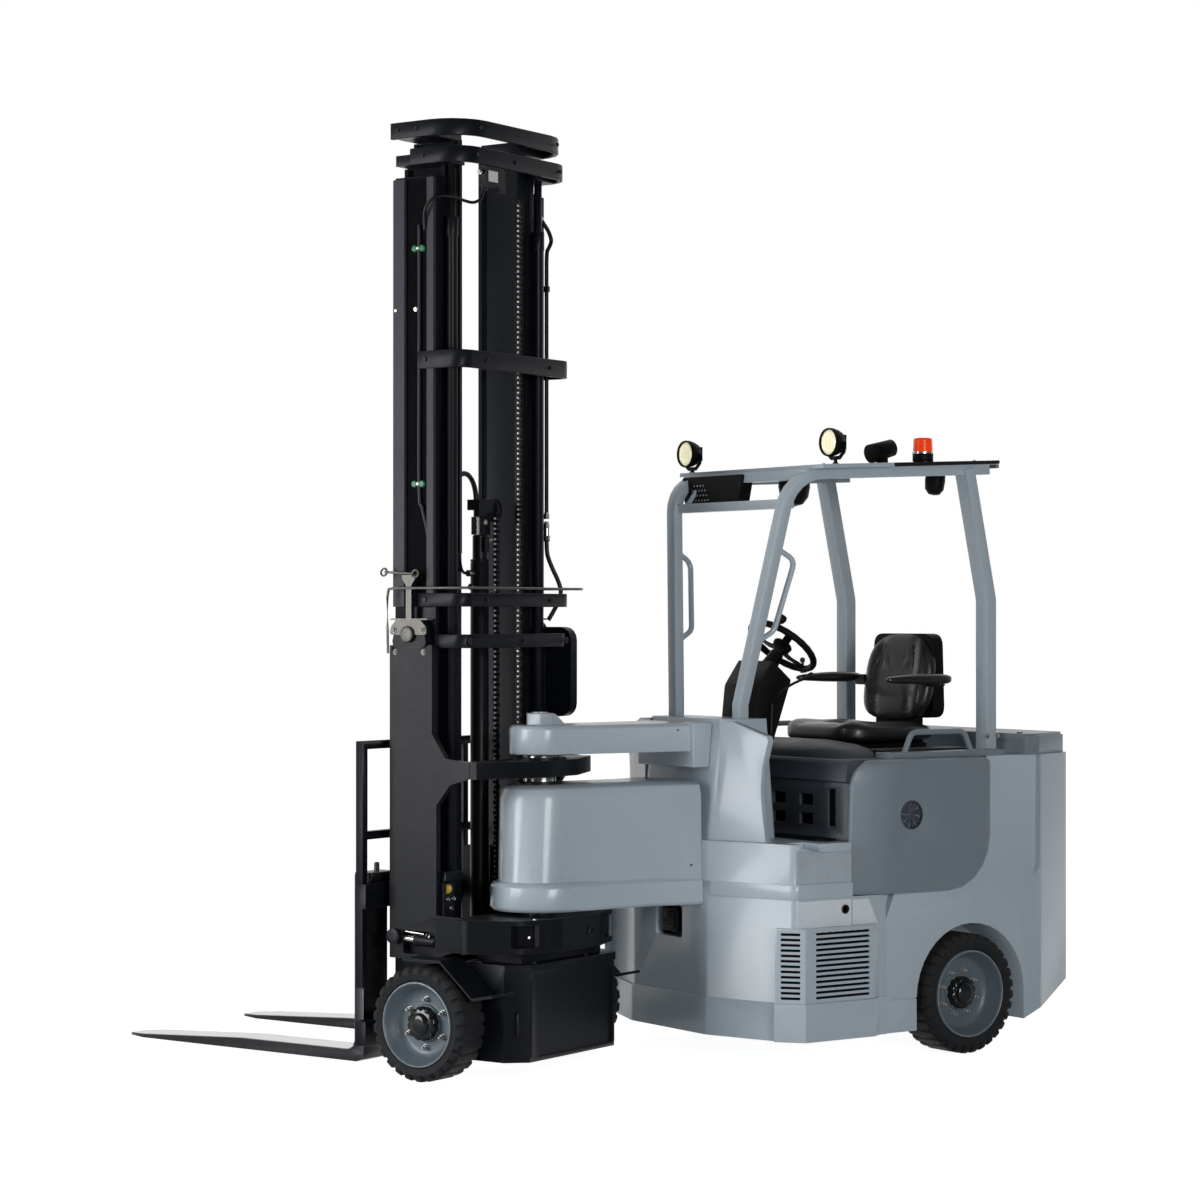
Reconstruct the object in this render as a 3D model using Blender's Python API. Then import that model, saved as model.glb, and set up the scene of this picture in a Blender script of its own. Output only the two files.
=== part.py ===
"""Articulated forklift: a rear unit with the cab, and a front unit with the mast, hinged on one upright kingpin.

The rear unit is drawn with its kingpin at x = 0, y = 0: x runs forward, y to its left and z up, in metres.
The front unit is drawn straight ahead in the same way, then turned about the kingpin by FRONT_TURN.
At the end both are shifted together, so that the middle of the bounding box's floor is the origin.
"""

import math

import bmesh
import bpy
from mathutils import Matrix, Vector

# Sizes that drive the rest, in metres and radians.
FIT_GAP = 0.0003  # between two pieces that touch
RUN_GAP = 0.006  # between two pieces that move past each other
BORE_GAP = 0.0005  # between a shaft and the bore it turns in
FRONT_TURN = math.radians(-69)  # how far the front unit is steered at rest, to the right

REAR_AXLE_X = -1.57
REAR_TYRE_RADIUS = 0.2285
REAR_TYRE_WIDTH = 0.178
REAR_TYRE_DEPTH = 0.062  # from the rim to the tread
REAR_RIM_RADIUS = REAR_TYRE_RADIUS - REAR_TYRE_DEPTH
REAR_SHAFT_RADIUS = 0.045
REAR_TRACK_OUTER = 0.600  # from the middle to the outer face of a rear tyre
FRONT_AXLE_X = 0.18
FRONT_TYRE_RADIUS = 0.2065
FRONT_TYRE_WIDTH = 0.152
FRONT_TYRE_DEPTH = 0.0525
FRONT_RIM_RADIUS = FRONT_TYRE_RADIUS - FRONT_TYRE_DEPTH
FRONT_SHAFT_RADIUS = 0.035
FRONT_TRACK_OUTER = 0.506

GROUND_CLEARANCE = 0.11
SEAM_Z = 0.63  # where the lower hull meets the body above
FLOOR_Z = 0.83
COWL_TOP_Z = 1.28
DECK_Z = 1.13  # top of the pedestal and of the rear hull
BODY_HALF = 0.60
HULL_FRONT_X = -0.59
HULL_NOSE_HALF = 0.235  # half the width of the hull's front face
HULL_SHOULDER_X = -0.72  # where the hull reaches its full width
SPLIT_X = -1.15  # joint between the front hull and the rear hull
SKIRT_PROUD = 0.008
SKIRT_TOP_Z = 0.25
TAIL_CREASE_X = -1.93
TAIL_X = -2.17
TAIL_HALF = 0.50
CHIN_FRONT_X = -1.83  # where the rear hull's underside starts to rise
CHIN_RISE = 0.41
SCOOP_LOW_Z = 0.705
ARCH_GAP = 0.0415  # from a rear tyre to its arch
SCOOP_DEPTH = 0.028  # how far the body side behind a cover lies in
COWL_HALF = 0.262
COVER_FRONT_X = -0.985
COVER_FOLD_X = -1.125  # where a cover's folded front edge reaches its outer face
COVER_REAR_X = -1.655
COVER_LOW_Z = 0.632
COVER_IN = 0.57  # inner face of a side cover, from the middle
COVER_PROUD = 0.025
PEDESTAL_X = -1.0
GRILLE_REAR_X = -1.105
GRILLE_PROUD = 0.034
GRILLE_FRONT_Y = 0.53  # where a grille starts on the hull's facet
GRILLE_FOLD_X = -0.742  # fold between a grille's two faces
GRILLE_LOW_Z = SKIRT_TOP_Z + FIT_GAP
GRILLE_TOP_Z = SEAM_Z - 0.105
GRILLE_SLOTS = 13
HUB_NOTCHES = 10

KINGPIN_RADIUS = 0.06
NOSE_TOP_Z = 1.05
NOSE_SKIRT_Z = 0.59
NOSE_HALF = 0.150
NOSE_SKIRT_RADIUS = 0.182
ARM_END_RADIUS = 0.112
ARM_BOTTOM_Z = 1.16
ARM_TOP_Z = 1.266
BOSS_TOP_Z = 1.31
KINGPIN_TOP_Z = ARM_TOP_Z - 0.02

PLATE_IN = 0.337  # inner face of the front unit's side plates
PLATE_OUT = 0.362
PLATE_BACK = 0.22
PLATE_FRONT = 0.414
TRUNNION_X = 0.318
TRUNNION_Z = 1.60
BASE_BOTTOM_Z = 0.457
BASE_TOP_Z = 0.576
CROSS_BOTTOM_Z = 1.08
CROSS_TOP_Z = 1.148

RAIL_BACK = 0.226
RAIL_FRONT = 0.413
RAIL_FLANGE = 0.017
RAIL_WEB = 0.012
OUTER_RAIL = (0.283, 0.331)  # inner and outer faces of each stage's rails, from the middle
MIDDLE_RAIL = (0.229, 0.277)
INNER_RAIL = (0.175, 0.223)
RAIL_FOOT_Z = 0.30
FORK_TOP_Z = 0.076
TIE_HEIGHT = 0.035  # the tie across the foot of each stage, under the next stage's rails
OUTER_TOP_Z = 3.27
MIDDLE_TOP_Z = 3.37
INNER_TOP_Z = 3.47
BELT_BACK = 0.092
BELT_THICK = 0.016
CROSSHEAD_HALF = 0.352
HELM_RADIUS = 0.14  # steering wheel, to the middle of its rim
CROSSHEAD_HEIGHT = 0.06
LIFT_X = 0.200  # the lift cylinders' place behind the outer rails
LIFT_Y = 0.268
LIFT_RADIUS = 0.022
LIFT_FOOT_Z = 0.74
CARRIAGE_BACK = 0.455
CARRIAGE_FRONT = 0.505
FORK_TIP_X = 1.69

GUARD_RAIL_Z = 2.20
GUARD_TUBE = 0.04  # height of a roof rail's tube
GUARD_HANDLE_Z = (1.56, 1.925)
ROOF_FRONT_X = -0.97
ROOF_REAR_X = -1.85
ROOF_RISE = 0.045  # rise of the roof for each metre towards the rear
ROOF_THICK = 0.014
ROUND_SIDES = 20
WHEEL_SIDES = 28
SHAFT_SIDES = 32  # for shafts and the bores they turn in

# Colours of the kinds of surface, as red, green, blue, roughness and metallic.
FINISHES = {
    "paint": (0.62, 0.68, 0.74, 0.35, 0.0),
    "cover": (0.40, 0.45, 0.49, 0.40, 0.0),
    "dark": (0.025, 0.03, 0.045, 0.45, 0.2),
    "black": (0.012, 0.012, 0.014, 0.60, 0.0),
    "rubber": (0.015, 0.015, 0.016, 0.85, 0.0),
    "steel": (0.55, 0.55, 0.54, 0.30, 1.0),
    "leather": (0.014, 0.013, 0.013, 0.40, 0.0),
    "rim": (0.30, 0.34, 0.38, 0.50, 0.1),
    "glow": (0.95, 0.92, 0.80, 0.30, 0.0),
    "orange": (0.95, 0.20, 0.03, 0.25, 0.0),
}

UNITS = {}


def clear_scene():
    """Removes every object of the startup scene."""
    for obj in list(bpy.data.objects):
        bpy.data.objects.remove(obj)


def unit(name, turn):
    """An empty that carries one of the two units."""
    empty = bpy.data.objects.new(name, None)
    bpy.context.scene.collection.objects.link(empty)
    empty.rotation_euler[2] = turn
    UNITS[name] = empty


def material(name, finish):
    """A Principled material of its own for one piece."""
    red, green, blue, roughness, metallic = FINISHES[finish]
    made = bpy.data.materials.new(name)
    made.use_nodes = True
    shader = made.node_tree.nodes["Principled BSDF"]
    shader.inputs["Base Color"].default_value = (red, green, blue, 1)
    shader.inputs["Roughness"].default_value = roughness
    shader.inputs["Metallic"].default_value = metallic
    made.diffuse_color = (red, green, blue, 1)
    return made


def solid(points, faces):
    """A helper object from points and faces, with every face turned outwards."""
    mesh = bpy.data.meshes.new("shape")
    mesh.from_pydata([tuple(p) for p in points], [], faces)
    work = bmesh.new()
    work.from_mesh(mesh)
    bmesh.ops.recalc_face_normals(work, faces=work.faces)
    if work.calc_volume(signed=True) < 0:
        bmesh.ops.reverse_faces(work, faces=work.faces)
    work.to_mesh(mesh)
    work.free()
    obj = bpy.data.objects.new("shape", mesh)
    bpy.context.scene.collection.objects.link(obj)
    obj.hide_render = True
    obj.display_type = "WIRE"
    return obj


def combine(base, other, operation):
    """Adds an exact Boolean to base, with other as its helper."""
    step = base.modifiers.new(operation.lower(), "BOOLEAN")
    step.operation = operation
    step.solver = "EXACT"
    step.object = other
    return base


def join(base, *others):
    """Unites the other shapes with base."""
    for other in others:
        combine(base, other, "UNION")
    return base


def cut(base, *others):
    """Takes the other shapes away from base."""
    for other in others:
        combine(base, other, "DIFFERENCE")
    return base


def node(name, shape, finish, carrier="rear"):
    """Makes a shape one named piece of the rear or the front unit."""
    shape.name = name
    shape.data.name = name
    shape.hide_render = False
    shape.display_type = "TEXTURED"
    shape.data.materials.append(material(name, finish))
    carry(shape, carrier)
    return shape


def carry(shape, carrier):
    """Parents a shape, and the helpers that it is made with, to a unit."""
    shape.parent = UNITS[carrier]
    for step in shape.modifiers:
        if step.type == "BOOLEAN":
            carry(step.object, carrier)


def prism(outline, low, high, axis="z"):
    """An outline extruded along an axis: (x, y) along z, (x, z) along y or (y, z) along x."""
    place = {
        "z": lambda a, b, c: (a, b, c),
        "y": lambda a, b, c: (a, c, b),
        "x": lambda a, b, c: (c, a, b),
    }[axis]
    count = len(outline)
    points = [place(a, b, level) for level in (low, high) for a, b in outline]
    faces = [tuple(range(count)), tuple(range(count, 2 * count))]
    for i in range(count):
        j = (i + 1) % count
        faces.append((i, j, count + j, count + i))
    return solid(points, faces)


def box(x_range, y_range, z_range):
    """A block between two values on each axis."""
    (x0, x1), (y0, y1) = x_range, y_range
    return prism([(x0, y0), (x1, y0), (x1, y1), (x0, y1)], *z_range)


def loft(rings):
    """A solid through rings of as many points each, closed by its first and last ring."""
    count = len(rings[0])
    points = [point for ring in rings for point in ring]
    faces = [tuple(range(count)), tuple(range((len(rings) - 1) * count, len(points)))]
    for level in range(len(rings) - 1):
        for i in range(count):
            j = (i + 1) % count
            a, b = level * count, (level + 1) * count
            faces.append((a + i, a + j, b + j, b + i))
    return solid(points, faces)


def rounded(outline, radius, steps=4):
    """The closed outline with each corner rounded. radius is one value, or one value for each corner."""
    count = len(outline)
    radii = list(radius) if isinstance(radius, (list, tuple)) else [radius] * count
    result = []
    for i, (corner, size) in enumerate(zip(outline, radii)):
        if size <= 0:
            result.append(corner)
            continue
        here = Vector(corner)
        back = (Vector(outline[i - 1]) - here).normalized()
        ahead = (Vector(outline[(i + 1) % count]) - here).normalized()
        half = math.acos(max(-1, min(1, back.dot(ahead)))) / 2
        centre = here + (back + ahead).normalized() * (size / math.sin(half))
        start = here + back * (size / math.tan(half)) - centre
        end = here + ahead * (size / math.tan(half)) - centre
        sweep = math.pi - 2 * half
        for k in range(steps + 1):
            share = k / steps
            mix = (start * math.sin((1 - share) * sweep) + end * math.sin(share * sweep)) / math.sin(sweep)
            result.append(tuple(centre + mix))
    return result


def mirrored(half):
    """A closed outline from the points of its left half, in order from front to back."""
    return list(half) + [(x, -y) for x, y in reversed(half) if y > 1e-6]


def circle(centre, radius, sides=ROUND_SIDES):
    """The outline of a circle."""
    return [
        (
            centre[0] + radius * math.cos(2 * math.pi * i / sides),
            centre[1] + radius * math.sin(2 * math.pi * i / sides),
        )
        for i in range(sides)
    ]


def rod(start, end, radius, sides=ROUND_SIDES, end_radius=None):
    """A round bar between two points, tapering where end_radius is given."""
    start, end = Vector(start), Vector(end)
    turn = (end - start).to_track_quat("Z", "Y")
    rings = []
    for centre, size in ((start, radius), (end, radius if end_radius is None else end_radius)):
        rings.append([centre + turn @ Vector((x, y, 0)) for x, y in circle((0, 0), size, sides)])
    return loft(rings)


def turned(profile, centre, axis, sides=32):
    """A closed profile of (along, radius) pairs turned about an axis. No point of it lies on the axis."""
    turn = Vector(axis).to_track_quat("Z", "Y")
    count = len(profile)
    points = []
    for i in range(sides):
        angle = 2 * math.pi * i / sides
        for along, radius in profile:
            points.append(
                Vector(centre) + turn @ Vector((radius * math.cos(angle), radius * math.sin(angle), along))
            )
    faces = []
    for i in range(sides):
        a, b = i * count, (i + 1) % sides * count
        for j in range(count):
            k = (j + 1) % count
            faces.append((a + j, a + k, b + k, b + j))
    return solid(points, faces)


def bent(path, radius, steps=4):
    """The open path with each inner corner rounded."""
    path = [Vector(p) for p in path]
    result = [path[0]]
    for before, here, after in zip(path, path[1:], path[2:]):
        back, ahead = (before - here).normalized(), (after - here).normalized()
        half = math.acos(max(-1, min(1, back.dot(ahead)))) / 2
        if half > math.pi / 2 - 0.02:
            result.append(here)
            continue
        reach = min(radius / math.tan(half), (before - here).length * 0.48, (after - here).length * 0.48)
        size = reach * math.tan(half)
        centre = here + (back + ahead).normalized() * (size / math.sin(half))
        start, end = here + back * reach - centre, here + ahead * reach - centre
        sweep = math.pi - 2 * half
        for k in range(steps + 1):
            share = k / steps
            result.append(
                centre
                + (start * math.sin((1 - share) * sweep) + end * math.sin(share * sweep)) / math.sin(sweep)
            )
    return result + [path[-1]]


def swept(path, section, up=(0, 0, 1)):
    """A closed section of (across, up) pairs carried along a path with mitred corners."""
    path = [Vector(p) for p in path]
    rings = []
    for i, here in enumerate(path):
        before = (here - path[i - 1]).normalized() if i else (path[1] - here).normalized()
        after = (path[i + 1] - here).normalized() if i + 1 < len(path) else before
        along = (before + after).normalized()
        across = along.cross(Vector(up)).normalized()
        rise = across.cross(along).normalized()
        stretch = 1 / max(0.5, along.dot(before))
        side = after - before
        wide = stretch if side.length > 1e-6 and abs(side.normalized().dot(across)) > 0.7 else 1
        tall = stretch if side.length > 1e-6 and wide == 1 else 1
        rings.append([here + across * (a * wide) + rise * (b * tall) for a, b in section])
    return loft(rings)


def tube(path, radius, sides=10, up=(0, 0, 1), bend=0.03, steps=4):
    """A round tube along a path with rounded bends."""
    return swept(bent(path, bend, steps), circle((0, 0), radius, sides), up)


def flat(width, height):
    """The section of a rectangular bar."""
    w, h = width / 2, height / 2
    return [(-w, -h), (w, -h), (w, h), (-w, h)]


# The rear unit's hull and body.


def hull_outline(inset=0.0):
    """The plan of the front hull, from its nose face to the split. A negative inset stands proud."""
    i = inset
    return mirrored(
        [
            (HULL_FRONT_X - i, HULL_NOSE_HALF - i * 0.6),
            (HULL_SHOULDER_X - i * 0.6, BODY_HALF - i),
            (SPLIT_X + FIT_GAP, BODY_HALF - i),
        ]
    )


def hull_prism(inset, z_low, z_high):
    """A level slice of the front hull, with its corners rounded."""
    return prism(rounded(hull_outline(inset), [0.06, 0.035, 0, 0, 0.035, 0.06]), z_low, z_high)


def panel(start, end, outline, thick, axis_side=1):
    """A flat sheet over the plan line from start to end. outline holds (distance along, z) pairs."""
    start, end = Vector(start), Vector(end)
    along = (end - start).normalized()
    out = Vector((along.y, -along.x)) * axis_side
    rings = []
    for depth in (0.0, thick):
        base = start - out * depth
        rings.append([(*(base + along * share), z) for share, z in outline])
    return loft(rings)


def rear_hull_outline():
    """The plan of the rear hull, from the split to the tail."""
    return mirrored([(SPLIT_X - FIT_GAP, BODY_HALF), (TAIL_CREASE_X, BODY_HALF), (TAIL_X, TAIL_HALF)])


def front_hull():
    """The lower hull ahead of the split, with its proud skirt and the socket in its nose."""
    tub = hull_prism(0, GROUND_CLEARANCE + 0.02, SEAM_Z - FIT_GAP)
    join(tub, hull_prism(-SKIRT_PROUD, GROUND_CLEARANCE, SKIRT_TOP_Z))
    for side in (-1, 1):
        join(tub, prism(grille_plan(side, -0.02, 0.004), GROUND_CLEARANCE + 0.001, GRILLE_LOW_Z - FIT_GAP))
    socket = rounded([(-0.09, 0.455), (0.08, 0.455), (0.08, 0.565), (0.06, 0.585), (-0.09, 0.585)], 0.012, 2)
    cut(tub, prism(socket, HULL_FRONT_X - 0.035, HULL_FRONT_X + 0.1, "x"))
    return node("front_hull", tub, "paint")


def rear_hull():
    """The cast tail: counterweight, wheel arches and the body sides behind the seat."""
    corners = [0, 0.04, 0.05, 0.05, 0.04, 0]
    low = prism(rounded(rear_hull_outline(), corners), GROUND_CLEARANCE, FLOOR_Z - FIT_GAP)
    tail = mirrored([(COVER_REAR_X - 0.02, BODY_HALF), (TAIL_CREASE_X, BODY_HALF), (TAIL_X, TAIL_HALF)])
    join(low, prism(rounded(tail, corners), FLOOR_Z - 0.05, DECK_Z))
    arch_radius = REAR_TYRE_RADIUS + ARCH_GAP
    arch_depth = REAR_TRACK_OUTER - REAR_TYRE_WIDTH - 0.022
    for side in (-1, 1):
        arch = [
            (REAR_AXLE_X + arch_radius * math.cos(a), REAR_TYRE_RADIUS + arch_radius * math.sin(a))
            for a in (math.pi * k / 18 for k in range(19))
        ]
        arch = [(REAR_AXLE_X + arch_radius, 0.0)] + arch + [(REAR_AXLE_X - arch_radius, 0.0)]
        cut(low, prism(arch, *sorted((side * arch_depth, side * (BODY_HALF + 0.15))), "y"))
        cut(low, prism(cover_outline(-FIT_GAP), *sorted((side * (COVER_IN - FIT_GAP), side * (BODY_HALF + 0.15))), "y"))
        drops = [(COVER_REAR_X + 0.14, 0.088), (COVER_REAR_X, 0.084), (-1.795, 0.071), (-1.891, 0.045), (-1.925, 0.008)]
        top = [(TAIL_CREASE_X, DECK_Z + 0.1), (COVER_REAR_X + 0.14, DECK_Z + 0.1)]
        rings = []
        for y, slope in ((BODY_HALF - SCOOP_DEPTH, 0.0), (BODY_HALF, 1.0), (BODY_HALF + 0.15, 1.0)):
            floor = [(x, SCOOP_LOW_Z - drop * slope) for x, drop in drops]
            rings.append([(x, side * y, z) for x, z in floor + top])
        cut(low, loft(rings))
        groove = [(SPLIT_X + 0.02, 0.235), (REAR_AXLE_X + arch_radius - 0.05, 0.235)]
        groove = groove + [(x, z - 0.006) for x, z in reversed(groove)]
        cut(low, prism(groove, *sorted((side * (BODY_HALF - 0.006), side * (BODY_HALF + 0.15))), "y"))
        slope = [(SPLIT_X + 0.01, SEAM_Z + 0.01), (SPLIT_X + 0.01, SEAM_Z - 0.12), (SPLIT_X - 0.045, SEAM_Z + 0.01)]
        cut(low, prism(slope, *sorted((side * (BODY_HALF - 0.03), side * (BODY_HALF + 0.15))), "y"))
    half = REAR_TRACK_OUTER + 0.1
    axle = rod((REAR_AXLE_X, -half, REAR_TYRE_RADIUS), (REAR_AXLE_X, half, REAR_TYRE_RADIUS), REAR_SHAFT_RADIUS + FIT_GAP, SHAFT_SIDES)
    chin_end = TAIL_X - 0.25
    chin = [(chin_end, GROUND_CLEARANCE + CHIN_RISE * (CHIN_FRONT_X - chin_end)), (CHIN_FRONT_X + 0.05, GROUND_CLEARANCE - CHIN_RISE * 0.05)]
    chin = prism(chin + [(CHIN_FRONT_X + 0.05, 0.0), (chin_end, 0.0)], -0.8, 0.8, "y")
    cut(low, axle, chin)
    return node("rear_hull", low, "paint")


def cab_base():
    """The band of body between the seam and the cab floor, with its proud rim and the step insert on each side."""
    band = hull_prism(0, SEAM_Z, FLOOR_Z)
    rim = hull_prism(-SKIRT_PROUD, SEAM_Z, SEAM_Z + 0.052)
    join(band, cut(rim, box((HULL_FRONT_X, HULL_FRONT_X + 0.1), (-0.26, 0.26), (SEAM_Z - 0.1, SEAM_Z + 0.1))))
    for side in (-1, 1):
        step = [(HULL_SHOULDER_X - 0.03, FLOOR_Z + 0.1), (COVER_FRONT_X + 0.15, FLOOR_Z + 0.1)]
        step = step + [(COVER_FRONT_X + 0.15, FLOOR_Z - 0.035), (HULL_SHOULDER_X - 0.03, FLOOR_Z - 0.012)]
        cut(band, prism(step, *sorted((side * (BODY_HALF - 0.10), side * (BODY_HALF + 0.1))), "y"))
        seat = box((SPLIT_X - 0.1, COVER_FRONT_X + FIT_GAP), sorted((side * (COVER_IN - 0.01), side * (BODY_HALF + 0.1))), (SEAM_Z - 0.1, FLOOR_Z + 0.1))
        cut(band, seat)
    return node("cab_base", band, "paint")


def cowl_front(z):
    """Where the cowl's leaning front face is at a height."""
    return HULL_FRONT_X - 0.025 - 0.045 * (z - FLOOR_Z) / (COWL_TOP_Z - FLOOR_Z)


def cowl():
    """The column ahead of the driver that carries the guard's front legs, with a wing on each side."""
    z_low, z_high = FLOOR_Z + FIT_GAP, COWL_TOP_Z
    rings = []
    for z, back in ((z_low, -0.90), (z_high, -0.86)):
        front = cowl_front(z)
        outline = rounded(
            [(front, COWL_HALF), (front, -COWL_HALF), (back, -COWL_HALF), (back, COWL_HALF)],
            [0.07, 0.07, 0.02, 0.02],
        )
        rings.append([(x, y, z) for x, y in outline])
    shell = loft(rings)
    edge = [(0.0, z_low), (0.21, z_low), (0.196, z_low + 0.10), (0.188, z_low + 0.19), (0.196, z_low + 0.28)]
    edge = edge + [(0.222, z_high - 0.075), (0.215, z_high - 0.058), (0.06, z_high - 0.008), (0.0, z_high - 0.006)]
    for side in (-1, 1):
        start = (HULL_FRONT_X - 0.056, side * (COWL_HALF - 0.022))
        end = (HULL_SHOULDER_X - 0.030, side * (BODY_HALF - 0.02))
        join(shell, panel(start, end, edge, 0.035, side))
    return node("cowl", shell, "paint")


def pedestal():
    """The box under the seat, between the side covers, with four vents and a slot in its front."""
    outline = [(PEDESTAL_X, FLOOR_Z + FIT_GAP), (PEDESTAL_X, DECK_Z - 0.085), (PEDESTAL_X + 0.018, DECK_Z - 0.080)]
    outline = outline + [(PEDESTAL_X + 0.012, DECK_Z - 0.012), (PEDESTAL_X, DECK_Z)]
    back = COVER_REAR_X - 0.02 + 0.0003
    outline = outline + [(back + 0.0003, DECK_Z), (back + 0.0003, FLOOR_Z + FIT_GAP)]
    body = prism(outline, -(COVER_IN - FIT_GAP), COVER_IN - FIT_GAP, "y")
    for y in (0.108, 0.274):
        for z in (0.881, 0.953):
            cut(body, box((PEDESTAL_X - 0.04, PEDESTAL_X + 0.05), (y, y + 0.077), (z, z + 0.042)))
    cut(body, box((PEDESTAL_X - 0.03, PEDESTAL_X + 0.05), (0.445, 0.486), (0.88, 1.02)))
    return node("pedestal", body, "black")


def cover_outline(inset=0.0, fold=0.0):
    """The side view of a side cover. A negative inset gives the seat cut for it, fold draws its front edge back."""
    seat = max(-inset, 0.0)
    front, rear = COVER_FRONT_X - fold + seat, COVER_REAR_X + max(inset, 0) * 0.4 - seat
    low, high = COVER_LOW_Z - seat, DECK_Z - inset * 0.5
    outline = [(front, low), (front - 0.018, high), (rear, high), (rear, low)]
    return rounded(outline, [0.02, 0.10, 0.02, 0.20], 5)


def side_cover(side):
    """One of the two big moulded covers on the cab's flanks: a folded front edge and a round fan vent."""
    name = "side_cover_left" if side > 0 else "side_cover_right"
    y_out = BODY_HALF + COVER_PROUD
    fold = COVER_FRONT_X - COVER_FOLD_X
    levels = ((COVER_IN, 0.0, 0.0), (BODY_HALF - 0.010, 0.0, 0.0), (y_out - 0.005, 0.010, fold - 0.015), (y_out, 0.030, fold + 0.012))
    cover = loft([[(x, side * y, z) for x, z in cover_outline(inset, back)] for y, inset, back in levels])
    vent = (COVER_FOLD_X - 0.132, DECK_Z - 0.208)
    cut(cover, prism(circle(vent, 0.055), *sorted((side * (y_out - 0.014), side * (y_out + 0.1))), "y"))
    join(cover, prism(circle(vent, 0.016, 12), *sorted((side * (y_out - 0.02), side * (y_out - 0.005))), "y"))
    return node(name, cover, "cover")


def grille_plan(side, inner, outer):
    """The plan of a grille or of its sill: a strip round the hull's shoulder. inner and outer stand off the hull."""
    run, rise = HULL_SHOULDER_X - HULL_FRONT_X, BODY_HALF - HULL_NOSE_HALF
    across, ahead = rise / math.hypot(run, rise), -run / math.hypot(run, rise)
    share = (GRILLE_FRONT_Y - HULL_NOSE_HALF) / rise
    front = (HULL_FRONT_X + run * share, GRILLE_FRONT_Y)
    corner = inner * (1 - ahead) / across
    near = [
        (front[0] + inner * across, front[1] + inner * ahead),
        (HULL_SHOULDER_X + corner, BODY_HALF + inner),
        (GRILLE_REAR_X, BODY_HALF + inner),
    ]
    face = BODY_HALF + GRILLE_PROUD + outer
    far = [
        (GRILLE_REAR_X, face - 0.022),
        (GRILLE_REAR_X + 0.039, face),
        (GRILLE_FOLD_X + outer * 0.5, face),
        (front[0] + 0.027 + outer, front[1] + 0.0175),
    ]
    return [(x, side * y) for x, y in near + far]


def grille(side):
    """A two-faced louvred panel round the shoulder of the front hull."""
    name = "grille_left" if side > 0 else "grille_right"
    plan = grille_plan(side, FIT_GAP, 0.0)
    body = prism(plan, GRILLE_LOW_Z, GRILLE_TOP_Z)
    pitch = (GRILLE_TOP_Z - GRILLE_LOW_Z - 0.022) / GRILLE_SLOTS
    face = BODY_HALF + GRILLE_PROUD
    fold, edge = Vector(plan[-2]), Vector(plan[-1])
    along = (fold - edge).normalized()
    out = Vector((along.y, -along.x)) * side
    cutter_lift, facet_depth = 0.020, 0.0035
    for k in range(GRILLE_SLOTS):
        z = GRILLE_LOW_Z + 0.011 + pitch * (k + 0.25)
        z_range = (z, z + pitch * 0.5)
        y_range = sorted((side * (face - 0.010), side * (face + 0.1)))
        cut(body, box((GRILLE_REAR_X + 0.060, GRILLE_FOLD_X - 0.050), y_range, z_range))
        slot = [(0.022, z_range[0]), (0.094, z_range[0]), (0.094, z_range[1]), (0.022, z_range[1])]
        start = edge + out * cutter_lift
        cut(body, panel(start, start + along, slot, cutter_lift + facet_depth, side))
    return node(name, body, "paint")


def nose():
    """The lower jaw of the gooseneck: a round-ended shell on the kingpin, with its skirt."""
    back = HULL_FRONT_X + FIT_GAP
    arc_turns = [math.pi * (k / 14 - 0.5) for k in range(15)]
    rings = []
    levels = ((SEAM_Z, NOSE_HALF + 0.004), (NOSE_TOP_Z - 0.05, NOSE_HALF - 0.002), (NOSE_TOP_Z - 0.014, NOSE_HALF - 0.012), (NOSE_TOP_Z, NOSE_HALF - 0.04))
    for z, size in levels:
        arc = [(size * math.cos(a), size * math.sin(a)) for a in arc_turns]
        outline = arc + [(-0.40, size), (back, size + 0.055), (back, -size - 0.055), (-0.40, -size)]
        rings.append([(x, y, z) for x, y in outline])
    shell = loft(rings)
    rings = []
    for z, size in ((NOSE_SKIRT_Z, NOSE_SKIRT_RADIUS - 0.010), (NOSE_SKIRT_Z + 0.012, NOSE_SKIRT_RADIUS), (0.680, NOSE_SKIRT_RADIUS), (0.695, NOSE_SKIRT_RADIUS - 0.016)):
        arc = [(size * math.cos(a), size * math.sin(a)) for a in arc_turns]
        flank = size - 0.016
        sides = [(-0.20, flank), (-0.40, flank), (back, flank + 0.05)]
        rings.append([(x, y, z) for x, y in arc + sides + [(x, -y) for x, y in reversed(sides)]])
    join(shell, loft(rings))
    cut(shell, rod((0, 0, 0.4), (0, 0, 1.2), KINGPIN_RADIUS + FIT_GAP, SHAFT_SIDES))
    return node("nose", shell, "paint")


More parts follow.
